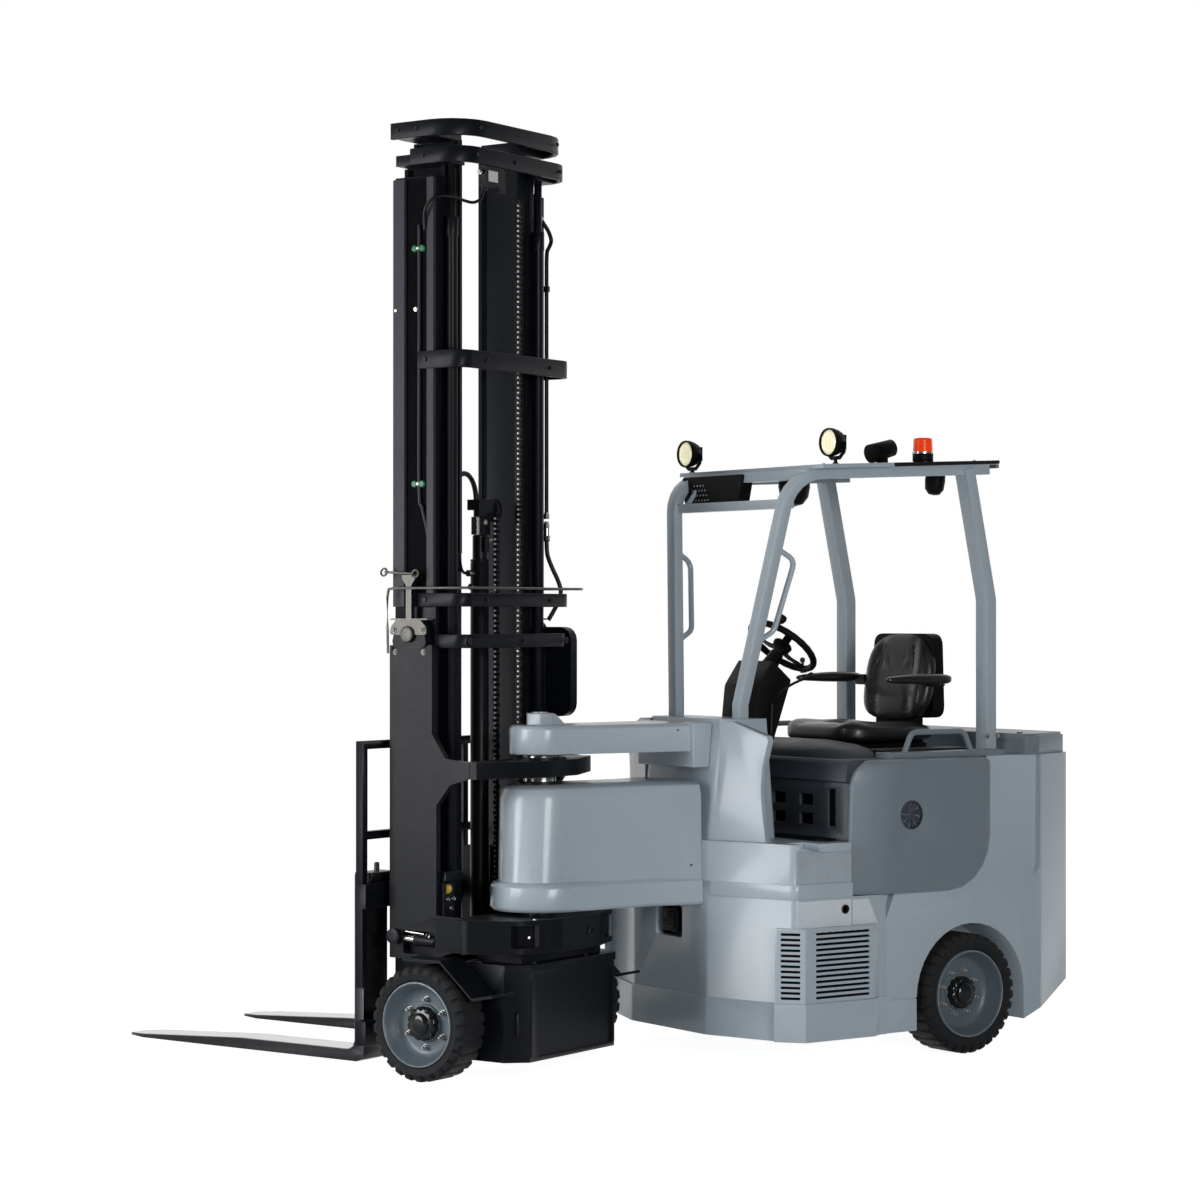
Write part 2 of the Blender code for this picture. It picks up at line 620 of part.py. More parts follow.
def upper_arm():
    """The upper jaw of the gooseneck: a tapered box arm with a round boss over the kingpin."""
    rings = []
    for z, grow in ((ARM_BOTTOM_Z, 0.0), (ARM_TOP_Z - 0.012, 0.0), (ARM_TOP_Z, -0.010)):
        size = ARM_END_RADIUS + grow
        arc = [(size * math.cos(a), size * math.sin(a)) for a in (math.pi * (k / 14 - 0.5) for k in range(15))]
        rings.append([(x, y, z) for x, y in arc + [(-0.6, 0.155 + grow), (-0.6, -0.155 - grow)]])
    arm = loft(rings)
    boss = rod((0, 0, ARM_TOP_Z - 0.02), (0, 0, BOSS_TOP_Z), 0.054, 6)
    wedge = [(0.0, ARM_TOP_Z - 0.02), (0.0, BOSS_TOP_Z - 0.002), (-0.045, BOSS_TOP_Z - 0.002), (-0.115, ARM_TOP_Z - 0.02)]
    join(boss, prism(wedge, -0.040, 0.040, "y"))
    join(arm, boss)
    cut(arm, rod((0, 0, 1.0), (0, 0, KINGPIN_TOP_Z + FIT_GAP), KINGPIN_RADIUS + FIT_GAP, SHAFT_SIDES))
    pad = [(-0.57, 1.10), (-0.57, ARM_TOP_Z), (cowl_front(ARM_TOP_Z) + FIT_GAP, ARM_TOP_Z)]
    join(arm, prism(pad + [(cowl_front(1.10) + FIT_GAP, 1.10)], -0.18, 0.18, "y"))
    return node("upper_arm", arm, "paint")


def kingpin():
    """The upright pin that both units share."""
    return node("kingpin", rod((0, 0, 0.47), (0, 0, KINGPIN_TOP_Z), KINGPIN_RADIUS, SHAFT_SIDES), "steel")


def rail_z(x):
    """The height of a roof rail's middle."""
    return GUARD_RAIL_Z + ROOF_RISE * (ROOF_FRONT_X - x)


def roof_top(x):
    """The height at which something stands on the roof plate."""
    return rail_z(x) + GUARD_TUBE / 2 + ROOF_THICK + 2 * FIT_GAP


def guard():
    """The overhead guard: four legs, two side rails, a header, a visor bar and four grab handles."""
    section = flat(GUARD_TUBE, 0.048)
    shape = None
    for side in (-1, 1):
        foot = COWL_TOP_Z + FIT_GAP
        knee = (-0.88, side * 0.371, rail_z(-0.88))
        front = [(-0.77, side * 0.205, foot), (-0.77, side * 0.205, foot + 0.04)] + bent(
            [(-0.77, side * 0.205, foot + 0.05), knee, (-1.80, side * 0.43, rail_z(-1.80))], 0.15, 6
        )
        leg = swept(front, section, (0, side, 0))
        rear = bent(
            [(-1.80, side * 0.43, DECK_Z + FIT_GAP), (-1.80, side * 0.43, 1.73), (-1.69, side * 0.43, rail_z(-1.69) + 0.004)],
            0.1,
            2,
        )
        join(leg, swept(rear, flat(0.048, 0.064), (0, side, 0)))
        start = Vector(front[1])
        ends = [start.lerp(Vector(knee), (z - start.z) / (knee[2] - start.z)) for z in GUARD_HANDLE_Z]
        out = Vector((-0.085, side * 0.012, 0))
        grip = [ends[0], ends[0] + out + Vector((0, 0, 0.05)), ends[1] + out - Vector((0, 0, 0.05)), ends[1]]
        join(leg, tube(grip, 0.011, 8, (0, side, 0), 0.04, 3))
        shape = leg if shape is None else join(shape, leg)
        join(shape, tube([(-0.965, side * 0.30, 2.195), (-0.885, side * 0.30, 2.09)], 0.009, 8, (0, 1, 0)))
    join(shape, box((-0.99, -0.94), (-0.39, 0.39), (2.18, 2.22)))
    join(shape, box((-0.905, -0.865), (-0.36, 0.36), (2.07, 2.105)))
    return node("overhead_guard", shape, "paint")


def roof_plate():
    """The plate over the guard, with slots to look up through."""
    z = GUARD_RAIL_Z + GUARD_TUBE / 2 + FIT_GAP
    rear = z + ROOF_RISE * (ROOF_FRONT_X - ROOF_REAR_X)
    outline = [(ROOF_FRONT_X, z), (ROOF_FRONT_X, z + ROOF_THICK), (ROOF_REAR_X, rear + ROOF_THICK), (ROOF_REAR_X, rear)]
    plate = prism(outline, -0.455, 0.455, "y")
    for k in range(7):
        x = -1.72 + 0.1 * k
        cut(plate, box((x, x + 0.06), (-0.33, 0.33), (z - 0.05, z + 0.05)))
    return node("roof_plate", plate, "paint")


def rear_lid():
    """The low lid over the tail, and the ledge and grab rail over each side cover."""
    outline = mirrored([(-1.86, BODY_HALF - 0.01), (TAIL_CREASE_X, BODY_HALF - 0.01), (TAIL_X + 0.01, TAIL_HALF - 0.01)])
    lid = prism(rounded(outline, [0, 0.03, 0.04, 0.04, 0.03, 0], 3), DECK_Z + FIT_GAP, 1.20)
    join(lid, prism(rounded([(x * 0.995 - 0.008, y * 0.98) for x, y in outline], [0, 0.03, 0.04, 0.04, 0.03, 0], 3), 1.19, 1.21))
    node("rear_lid", lid, "paint")
    for side in (-1, 1):
        y = side * (BODY_HALF - 0.075)
        low = DECK_Z + FIT_GAP
        ledge = box((-1.77, -1.20), sorted((y - 0.045, y + 0.045)), (low, low + 0.022))
        grip = [(-1.30, y, low + 0.01), (-1.34, y, low + 0.095), (-1.60, y, low + 0.095), (-1.64, y, low + 0.01)]
        join(ledge, tube(grip, 0.0115, 8, (0, 1, 0), 0.035, 3))
        node("ledge_left" if side > 0 else "ledge_right", ledge, "cover")


def lamp(name, x, y, z):
    """A round work lamp: its housing, its proud face and its stem."""
    roof = roof_top(x - 0.026)
    profile = [(-0.034, 0.001), (0.026, 0.001), (0.030, 0.041), (0.034, 0.045), (0.034, 0.054), (0.012, 0.054), (-0.016, 0.045), (-0.034, 0.026)]
    head = turned(profile, (x, y, z), (1, 0, 0), ROUND_SIDES)
    join(head, rod((x - 0.035, y, z), (x + 0.029, y, z), 0.02, 8))
    join(head, rod((x - 0.004, y, roof), (x - 0.004, y, z), 0.010, 10))
    join(head, rod((x - 0.004, y, roof), (x - 0.004, y, roof + 0.012), 0.022, 12))
    return node(name, head, "glow")


def beacon():
    """The orange warning beacon on its black base."""
    x, y = -1.504, 0.40
    roof = roof_top(x - 0.04)
    node("beacon_base", rod((x, y, roof), (x, y, roof + 0.034), 0.04), "black")
    node("beacon", rod((x, y, roof + 0.034 + FIT_GAP), (x, y, roof + 0.092), 0.0385, end_radius=0.036), "orange")


def alarm():
    """The travel alarm on a bar of the roof plate."""
    roof = roof_top(-1.556)
    horn = box((-1.556, -1.524), (0.07, 0.13), (roof, roof + 0.05))
    join(horn, rod((-1.49, 0.10, roof + 0.042), (-1.60, 0.10, roof + 0.070), 0.038, end_radius=0.034))
    node("alarm", horn, "black")


def console():
    """The leaning steering console and the wheel on its column."""
    tilt = Vector((-0.643, 0, 0.766)).normalized()
    down = tilt.cross(Vector((0, 1, 0))).normalized()
    lip = Vector((-1.09, 0, 1.42))
    crown = lip - down * 0.1175
    outline = [(-0.887, 1.0), (-0.93, 1.40), (crown.x, crown.z), (lip.x, lip.z), (-0.99, 1.15), (-0.96, 1.0)]
    body = prism(rounded(outline, [0, 0.05, 0, 0.01, 0.08, 0], 3), -0.11, 0.11, "y")
    join(body, box((-0.95, -0.905), (-0.10, 0.10), (FLOOR_Z + 0.0006, 1.10)))
    node("steering_console", body, "black")
    centre = Vector((-1.13, 0, 1.55))
    ring = [(0.013 * math.cos(a), HELM_RADIUS + 0.013 * math.sin(a)) for a in (2 * math.pi * k / 8 for k in range(8))]
    wheel = turned(ring, centre, tilt, 28)
    for turn in (0, 2 * math.pi / 3, 4 * math.pi / 3):
        reach = Vector((0, 1, 0)) * math.sin(turn) + down * math.cos(turn)
        join(wheel, rod(centre - tilt * 0.012, centre + reach * HELM_RADIUS, 0.011, 8))
    column = (centre - lip).dot(tilt) - FIT_GAP
    join(wheel, rod(centre + tilt * 0.006, centre - tilt * column, 0.022, 12))
    knob = centre + (Vector((0, 0.557, 0)) - down * 0.83) * HELM_RADIUS
    join(wheel, rod(knob, knob + tilt * 0.055, 0.012, 8, 0.019))
    node("steering_wheel", wheel, "black")


def seat():
    """The seat: cushion, backrest and two armrests."""
    cushion = prism(rounded([(-1.27, 1.17), (-1.27, 1.27), (-1.62, 1.24), (-1.76, 1.24), (-1.76, 1.17)], 0.02, 2), -0.24, 0.24, "y")
    join(cushion, box((-1.72, -1.34), (-0.18, 0.18), (DECK_Z + FIT_GAP, 1.18)))
    node("seat_cushion", cushion, "leather")
    back = prism(
        rounded([(-1.62, 1.2403), (-1.70, 1.60), (-1.76, 1.60), (-1.76, 1.2403)], [0.01, 0.03, 0.03, 0.01], 3),
        -0.20,
        0.20,
        "y",
    )
    node("seat_back", back, "leather")
    for side in (-1, 1):
        name = "armrest_left" if side > 0 else "armrest_right"
        rest = box((-1.75, -1.42), sorted((side * 0.245, side * 0.31)), (1.40, 1.44))
        join(rest, box((-1.75, -1.70), sorted((side * (0.20 + FIT_GAP), side * 0.27)), (1.39, 1.43)))
        node(name, rest, "leather")


def rim_profile(width, radius, axle):
    """The closed half section of a dished wheel, from its inner to its outer face."""
    w = width / 2
    return [
        (-w + 0.006, radius),
        (-w + 0.006, radius - 0.02),
        (-0.02, radius - 0.045),
        (-0.02, axle),
        (0.03, axle),
        (0.022, 0.072),
        (0.012, 0.080),
        (0.012, radius - 0.040),
        (w - 0.012, radius - 0.016),
        (w - 0.003, radius - 0.010),
        (w - 0.003, radius),
    ]


def hub_cap(centre, side, axle):
    """A cap over the shaft's end, with a notched edge."""
    x, y, z = centre
    notched = []
    for k in range(2 * HUB_NOTCHES):
        size = 0.062 if k % 2 else 0.053
        turn = math.pi * k / HUB_NOTCHES
        notched.append((x + size * math.cos(turn), z + size * math.sin(turn)))
    cap = prism(notched, *sorted((y + side * 0.018, y + side * 0.052)), "y")
    join(cap, prism(circle((x, z), 0.040, 16), *sorted((y + side * 0.045, y + side * 0.068)), "y"))
    cut(cap, rod((x, y, z), (x, y + side * 0.045, z), axle + BORE_GAP, WHEEL_SIDES))
    return cap


def wheel(name, carrier, x, side, radius, width, rim, outer, axle):
    """A solid tyre and its dished rim with its cap, one body on a stub of the axle."""
    centre = (x, side * (outer - width / 2), radius)
    w = width / 2
    tyre = [
        (-w, rim),
        (-w, radius - 0.022),
        (-w + 0.008, radius - 0.005),
        (-w + 0.02, radius),
        (w - 0.02, radius),
        (w - 0.008, radius - 0.005),
        (w, radius - 0.022),
        (w, rim + 0.012),
        (w - 0.004, rim),
    ]
    node("tyre_" + name, turned(tyre, centre, (0, side, 0), WHEEL_SIDES), "rubber", carrier)
    dish = turned(rim_profile(width, rim - FIT_GAP, axle + BORE_GAP), centre, (0, side, 0), WHEEL_SIDES)
    node("rim_" + name, join(dish, hub_cap(centre, side, axle)), "rim", carrier)


def rear_wheels():
    """The rear axle and its two wheels."""
    middle = REAR_TRACK_OUTER - REAR_TYRE_WIDTH / 2
    half = middle + 0.042
    axle = rod((REAR_AXLE_X, -half, REAR_TYRE_RADIUS), (REAR_AXLE_X, half, REAR_TYRE_RADIUS), REAR_SHAFT_RADIUS, SHAFT_SIDES)
    node("rear_axle", axle, "dark")
    for side, name in ((1, "rear_left"), (-1, "rear_right")):
        wheel(
            name, "rear", REAR_AXLE_X, side, REAR_TYRE_RADIUS, REAR_TYRE_WIDTH,
            REAR_RIM_RADIUS, REAR_TRACK_OUTER, REAR_SHAFT_RADIUS,
        )


# The front unit: frame, wheels, mast and forks.


def front_frame():
    """Base plate, two side plates with fenders and bearing caps, and the cross arm on the kingpin, in one weldment."""
    base = [(0.13, 0.30), (0.20, 0.30), (0.20, PLATE_OUT), (0.04, 0.40), (-0.13, 0.29), (-0.19, 0.12)]
    base = base + [(x, -y) for x, y in reversed(base)]
    frame = prism(rounded(base, [0, 0, 0, 0.05, 0.07, 0.05, 0.05, 0.07, 0.05, 0, 0, 0], 4), BASE_BOTTOM_Z, BASE_TOP_Z)
    for side in (-1, 1):
        notch = [(-0.20, side * 0.30), (-0.09, side * 0.36), (-0.055, side * 0.235), (-0.15, side * 0.175)]
        cut(frame, prism([(x - 0.02, y) for x, y in notch], BASE_BOTTOM_Z + 0.02, BASE_TOP_Z - 0.018))
    for side in (-1, 1):
        plate = [
            (PLATE_FRONT, 0.42),
            (PLATE_FRONT, 1.56),
            (PLATE_BACK, 1.56),
            (PLATE_BACK, 1.24),
            (0.16, CROSS_TOP_Z + 0.004),
            (0.05, CROSS_TOP_Z - 0.010),
            (0.05, CROSS_BOTTOM_Z + 0.005),
            (0.14, 1.055),
            (PLATE_BACK - 0.02, 0.98),
            (PLATE_BACK - 0.02, NOSE_SKIRT_Z - RUN_GAP),
            (0.08, NOSE_SKIRT_Z - 2 * RUN_GAP),
            (0.06, 0.48),
            (PLATE_BACK, 0.42),
        ]
        sheet = prism(plate, *sorted((side * PLATE_IN, side * PLATE_OUT)), "y")
        window = rounded([(0.205, 0.438), (0.352, 0.438), (0.352, 0.524), (0.205, 0.524)], 0.012, 2)
        cut(sheet, prism(window, *sorted((side * (PLATE_IN - 0.05), side * (PLATE_OUT + 0.05))), "y"))
        join(frame, sheet)
        cap = prism(
            rounded([(0.235, 1.55), (0.40, 1.55), (0.375, 1.655), (0.26, 1.655)], 0.02, 2),
            *sorted((side * PLATE_IN, side * (PLATE_OUT + 0.010))),
            "y",
        )
        join(cap, prism([(0.306, 1.64), (0.330, 1.64), (0.330, 1.78), (0.346, 1.80), (0.346, 1.815), (0.29, 1.815), (0.29, 1.80), (0.306, 1.78)], *sorted((side * (PLATE_OUT - 0.008), side * (PLATE_OUT + 0.010))), "y"))
        join(frame, cap)
        trunnion = rod((TRUNNION_X, 0, TRUNNION_Z), (TRUNNION_X, side * 0.8, TRUNNION_Z), 0.03 + BORE_GAP, SHAFT_SIDES)
        cut(frame, trunnion)
        top = 2 * FRONT_TYRE_RADIUS + 0.014
        run = [(0.27, top), (0.10, top), (-0.045, top - 0.125), (-0.13, top - 0.108)]
        sheet = run + [(x + 0.002, z + 0.010) for x, z in reversed(run)]
        join(frame, prism(sheet, *sorted((side * PLATE_IN, side * (FRONT_TRACK_OUTER - 0.035))), "y"))
        boss = rod((0.383, side * (PLATE_IN + 0.004), 0.500), (0.383, side * (PLATE_OUT + 0.02), 0.500), 0.028)
        join(frame, boss)
    drum = rounded([(0.10, 1.285), (0.10, 1.625), (PLATE_BACK + 0.02, 1.625), (PLATE_BACK + 0.02, 1.285)], [0.05, 0.05, 0, 0], 4)
    join(frame, prism(drum, -(PLATE_OUT + 0.022), -(PLATE_OUT - 0.018), "y"))
    cross = [(0.115, 0.05), (0.10, 0.15), (0.10, 0.34), (0.19, 0.345), (0.19, PLATE_OUT - 0.002), (0.02, PLATE_OUT - 0.002), (-0.10, 0.10)]
    cross = cross + [(x, -y) for x, y in reversed(cross)]
    join(frame, prism(cross, CROSS_BOTTOM_Z, CROSS_TOP_Z - 0.008))
    join(frame, rod((0, 0, CROSS_BOTTOM_Z), (0, 0, CROSS_TOP_Z), 0.10))
    cut(frame, rod((0, 0, 0.3), (0, 0, 1.2), KINGPIN_RADIUS + BORE_GAP, SHAFT_SIDES))
    return node("front_frame", frame, "dark", "front")


def front_housing():
    """The drive housing under the kingpin, between the front wheels, with its lip and panel edges."""
    wide = FRONT_TRACK_OUTER - FRONT_TYRE_WIDTH - 0.024
    narrow = wide - 0.063
    plan = [(-0.15, narrow), (-0.15, -narrow), (-0.08, -wide), (0.10, -wide), (0.13, -narrow), (0.13, narrow), (0.10, wide), (-0.08, wide)]
    top = BASE_BOTTOM_Z - 0.017
    body = prism(plan, 0.07, top - 0.04)
    lip = [(x * 1.04 if x < 0 else x, y) for x, y in plan]
    join(body, prism(lip, top - 0.05, top - 0.022))
    join(body, box((0.10, 0.215), (-narrow, narrow), (0.09, 0.285)))
    join(body, box((-0.10, 0.10), (-0.25, 0.25), (top - 0.06, BASE_BOTTOM_Z - FIT_GAP)))
    cut(body, box((-0.2, -0.143), (-narrow + 0.014, narrow - 0.05), (0.085, top - 0.075)))
    half = FRONT_TRACK_OUTER + 0.1
    axle = rod((FRONT_AXLE_X, -half, FRONT_TYRE_RADIUS), (FRONT_AXLE_X, half, FRONT_TYRE_RADIUS), FRONT_SHAFT_RADIUS + FIT_GAP, SHAFT_SIDES)
    return node("front_housing", cut(body, axle), "dark", "front")


def front_wheels():
    """The front axle and its two wheels."""
    middle = FRONT_TRACK_OUTER - FRONT_TYRE_WIDTH / 2
    half = middle + 0.042
    axle = rod((FRONT_AXLE_X, -half, FRONT_TYRE_RADIUS), (FRONT_AXLE_X, half, FRONT_TYRE_RADIUS), FRONT_SHAFT_RADIUS, SHAFT_SIDES)
    node("front_axle", axle, "dark", "front")
    for side, name in ((1, "front_left"), (-1, "front_right")):
        wheel(
            name, "front", FRONT_AXLE_X, side, FRONT_TYRE_RADIUS, FRONT_TYRE_WIDTH,
            FRONT_RIM_RADIUS, FRONT_TRACK_OUTER, FRONT_SHAFT_RADIUS,
        )


def rail(faces, side, z_low, z_high, web_out=True):
    """One mast rail: a channel whose web is on its outer face, or an I-beam with its web in the middle."""
    inner, outer = faces
    if web_out:
        outline = [
            (RAIL_BACK, outer),
            (RAIL_FRONT, outer),
            (RAIL_FRONT, inner),
            (RAIL_FRONT - RAIL_FLANGE, inner),
            (RAIL_FRONT - RAIL_FLANGE, outer - RAIL_WEB),
            (RAIL_BACK + RAIL_FLANGE, outer - RAIL_WEB),
            (RAIL_BACK + RAIL_FLANGE, inner),
            (RAIL_BACK, inner),
        ]
    else:
        middle = (inner + outer) / 2
        near, far = middle - RAIL_WEB / 2, middle + RAIL_WEB / 2
        outline = [
            (RAIL_BACK, outer),
            (RAIL_BACK + RAIL_FLANGE, outer),
            (RAIL_BACK + RAIL_FLANGE, far),
            (RAIL_FRONT - RAIL_FLANGE, far),
            (RAIL_FRONT - RAIL_FLANGE, outer),
            (RAIL_FRONT, outer),
            (RAIL_FRONT, inner),
            (RAIL_FRONT - RAIL_FLANGE, inner),
            (RAIL_FRONT - RAIL_FLANGE, near),
            (RAIL_BACK + RAIL_FLANGE, near),
            (RAIL_BACK + RAIL_FLANGE, inner),
            (RAIL_BACK, inner),
        ]
    return prism([(x, side * y) for x, y in outline], z_low, z_high)


def belt(half, front, z_low, z_high, back=BELT_BACK, bend=0.06):
    """A flat bar bent round the back of the rails. bend is the radius of its corners."""
    outer = [(front, half), (back, half), (back, -half), (front, -half)]
    t = BELT_THICK
    inner = [(front, half - t), (back + t, half - t), (back + t, -half + t), (front, -half + t)]
    outer = rounded(outer, [0, bend, bend, 0], 5)
    inner = rounded(inner, [0, bend - t, bend - t, 0], 5)
    return prism(outer + inner[::-1], z_low, z_high)


def outer_mast():
    """The outer stage: two rails, the tie at their feet, the cylinders' seats and the trunnion pins it hangs on."""
    mast = rail(OUTER_RAIL, 1, RAIL_FOOT_Z, OUTER_TOP_Z)
    join(mast, rail(OUTER_RAIL, -1, RAIL_FOOT_Z, OUTER_TOP_Z))
    join(mast, box((0.24, 0.40), (-0.325, 0.325), (RAIL_FOOT_Z, RAIL_FOOT_Z + TIE_HEIGHT)))
    for side in (-1, 1):
        seat = box((LIFT_X - 0.022, 0.240), sorted((side * 0.24, side * OUTER_RAIL[1])), (0.705, LIFT_FOOT_Z))
        cut(seat, box((0.2195, 0.30), sorted((side * 0.20, side * (OUTER_RAIL[0] + 0.002))), (0.70, 0.75)))
        join(mast, seat)
        join(mast, rod((TRUNNION_X, side * 0.325, TRUNNION_Z), (TRUNNION_X, side * (PLATE_OUT + 0.023), TRUNNION_Z), 0.03, SHAFT_SIDES))
    node("outer_mast", mast, "dark", "front")
    half = OUTER_RAIL[1] + FIT_GAP + BELT_THICK
    node("outer_belt_top", belt(half, 0.30, 2.565, 2.63), "dark", "front")
    node("outer_belt_middle", belt(half, 0.30, 1.70, 1.75), "dark", "front")
    node("outer_belt_low", belt(OUTER_RAIL[1], RAIL_BACK - FIT_GAP, 1.55, 1.60), "dark", "front")


def middle_mast():
    """The middle stage: rails, foot tie and slide pads, with the crosshead that the cylinders push."""
    foot = RAIL_FOOT_Z + TIE_HEIGHT + RUN_GAP
    seat = MIDDLE_TOP_Z - CROSSHEAD_HEIGHT
    mast = rail(MIDDLE_RAIL, 1, foot, seat - FIT_GAP, False)
    join(mast, rail(MIDDLE_RAIL, -1, foot, seat - FIT_GAP, False))
    join(mast, box((0.24, 0.40), (-0.26, 0.26), (foot, foot + TIE_HEIGHT)))
    pad_end = OUTER_RAIL[1] - RAIL_WEB - FIT_GAP
    for side in (-1, 1):
        join(mast, box((0.26, 0.38), sorted((side * 0.255, side * pad_end)), (foot + 0.01, foot + 0.07)))
    node("middle_mast", mast, "dark", "front")
    head = belt(CROSSHEAD_HALF, 0.33, seat, MIDDLE_TOP_Z, bend=0.11)
    for side in (-1, 1):
        join(head, box((0.17, 0.40), sorted((side * (MIDDLE_RAIL[0] + 0.001), side * 0.345)), (seat, seat + 0.04)))
    node("middle_crosshead", head, "dark", "front")


def inner_mast():
    """The inner stage: rails, foot tie and slide pads, with the crosshead on top."""
    foot = RAIL_FOOT_Z + 2 * (TIE_HEIGHT + RUN_GAP)
    seat = INNER_TOP_Z - CROSSHEAD_HEIGHT
    mast = rail(INNER_RAIL, 1, foot, seat - FIT_GAP, False)
    join(mast, rail(INNER_RAIL, -1, foot, seat - FIT_GAP, False))
    join(mast, box((0.24, 0.40), (-0.205, 0.205), (foot, foot + TIE_HEIGHT)))
    pad_end = (MIDDLE_RAIL[0] + MIDDLE_RAIL[1]) / 2 - RAIL_WEB / 2 - FIT_GAP
    for side in (-1, 1):
        join(mast, box((0.26, 0.38), sorted((side * 0.20, side * pad_end)), (foot + 0.01, foot + 0.07)))
    node("inner_mast", mast, "dark", "front")
    head = belt(CROSSHEAD_HALF, PLATE_FRONT + 0.006, seat, INNER_TOP_Z, bend=0.15)
    for side in (-1, 1):
        join(head, box((0.226, 0.40), sorted((side * INNER_RAIL[0], side * 0.345)), (seat, seat + 0.045)))
    node("inner_crosshead", head, "dark", "front")


def free_lift():
    """The centre cylinder of the inner stage, with its rod and its head block."""
    foot = RAIL_FOOT_Z + 2 * (TIE_HEIGHT + RUN_GAP) + TIE_HEIGHT
    body = rod((0.271, 0, foot + FIT_GAP), (0.271, 0, 1.86), 0.036)
    join(body, rod((0.271, 0, 1.84), (0.271, 0, 1.90), 0.042))
    join(body, rod((0.271, 0, 1.89), (0.271, 0, 2.02), 0.024, 16))
    join(body, box((0.236, 0.308), (-0.05, 0.05), (2.0, 2.10)))
    return node("free_lift_cylinder", body, "dark", "front")


def lift_cylinders():
    """The two cylinders behind the outer rails, whose rods reach the middle stage's crosshead."""
    top = MIDDLE_TOP_Z - CROSSHEAD_HEIGHT - FIT_GAP
    for side, name in ((1, "lift_cylinder_left"), (-1, "lift_cylinder_right")):
        y = side * LIFT_Y
        body = rod((LIFT_X, y, LIFT_FOOT_Z + FIT_GAP), (LIFT_X, y, 3.10), LIFT_RADIUS, 20)
        join(body, rod((LIFT_X, y, 3.05), (LIFT_X, y, 3.12), LIFT_RADIUS + 0.0025, 20))
        join(body, rod((LIFT_X, y, 3.0), (LIFT_X, y, top), 0.015, 16))
        node(name, body, "dark", "front")


def carriage():
    """The fork carriage: two fork bars on uprights, a roller plate in each inner rail, and the load backrest."""
    back, front = CARRIAGE_BACK, CARRIAGE_FRONT
    frame = box((back, front), (-0.45, 0.45), (0.10, 0.19))
    join(frame, box((back, front), (-0.45, 0.45), (0.60, 0.69)))
    for side in (-1, 1):
        join(frame, box((back - 0.025, back + 0.025), sorted((side * 0.10, side * 0.20)), (0.12, 0.68)))
        join(frame, box((back + 0.015, front - 0.003), sorted((side * 0.42, side * 0.45)), (0.31, 0.62)))
        name = "roller_plate_left" if side > 0 else "roller_plate_right"
        plate = box((0.30, back - 0.025 - FIT_GAP), sorted((side * 0.10, side * 0.15)), (0.43, 0.80))
        for z in (0.49, 0.73):
            join(plate, rod((0.32, side * 0.12, z), (0.32, side * ((INNER_RAIL[0] + INNER_RAIL[1]) / 2 - RAIL_WEB / 2 - FIT_GAP), z), 0.055, 20))
        node(name, plate, "dark", "front")
    node("fork_carriage", frame, "dark", "front")
    x_range = (back + 0.015, front - 0.003)
    rest = box(x_range, (-0.45, 0.45), (1.18, 1.21))
    join(rest, box(x_range, (-0.44, 0.44), (0.85, 0.88)))
    for side in (-1, 1):
        for near, far in ((0.42, 0.45), (0.16, 0.19)):
            join(rest, box(x_range, sorted((side * near, side * far)), (0.69 + FIT_GAP, 1.20)))
    return node("load_backrest", rest, "dark", "front")


def fork(side):
    """One fork: shank, heel, hook and tapered blade."""
    name = "fork_left" if side > 0 else "fork_right"
    y0, y1 = sorted((side * 0.26, side * 0.40))
    face = CARRIAGE_FRONT + FIT_GAP
    outline = [
        (face, 0.72),
        (face + 0.043, 0.72),
        (face + 0.043, 0.11),
        (face + 0.052, 0.088),
        (face + 0.072, FORK_TOP_Z),
        (1.10, FORK_TOP_Z),
        (FORK_TIP_X, 0.047),
        (FORK_TIP_X, 0.037),
        (face + 0.035, 0.033),
        (face + 0.008, 0.042),
        (face, 0.066),
    ]
    blade = prism(outline, y0, y1, "y")
    for end in (-1, 1):
        middle = (y0 + y1) / 2
        nip = [(FORK_TIP_X - 0.09, middle + end * 0.0701), (FORK_TIP_X + 0.01, middle + end * 0.035), (FORK_TIP_X + 0.01, middle + end * 0.09), (FORK_TIP_X - 0.09, middle + end * 0.09)]
        cut(blade, prism(nip, 0.0, 0.2))
    return node(name, blade, "dark", "front")


def centre_on_floor():
    """Shifts both units so that the bounding box's floor has its middle at the origin, and prints the kingpin."""
    bpy.context.view_layer.update()
    graph = bpy.context.evaluated_depsgraph_get()
    low, high = Vector((1e9,) * 3), Vector((-1e9,) * 3)
    for obj in bpy.data.objects:
        if obj.type != "MESH" or obj.hide_render:
            continue
        shown = obj.evaluated_get(graph)
        mesh = shown.to_mesh()
        for vertex in mesh.vertices:
            point = shown.matrix_world @ vertex.co
            low = Vector(map(min, low, point))
            high = Vector(map(max, high, point))
        shown.to_mesh_clear()
    shift = Vector((-(low.x + high.x) / 2, -(low.y + high.y) / 2, -low.z))
    for empty in UNITS.values():
        empty.location = shift
    print("size", [round(v, 4) for v in high - low], "kingpin at", [round(v, 5) for v in shift])


def main():
    clear_scene()
    unit("rear", 0)
    unit("front", FRONT_TURN)
    front_hull()
    rear_hull()
    cab_base()
    cowl()
    pedestal()
    for side in (-1, 1):
        side_cover(side)
        grille(side)
        fork(side)
    nose()
    upper_arm()
    kingpin()
    guard()
    roof_plate()
    rear_lid()
    lamp("work_lamp_right", -1.0, -0.42, 2.31)
    lamp("work_lamp_left", -1.06, 0.41, 2.32)
    beacon()
    alarm()
    console()
    seat()
    rear_wheels()
    front_frame()
    front_housing()
    front_wheels()
    outer_mast()
    middle_mast()
    inner_mast()
    free_lift()
    lift_cylinders()
    carriage()
    centre_on_floor()


main()
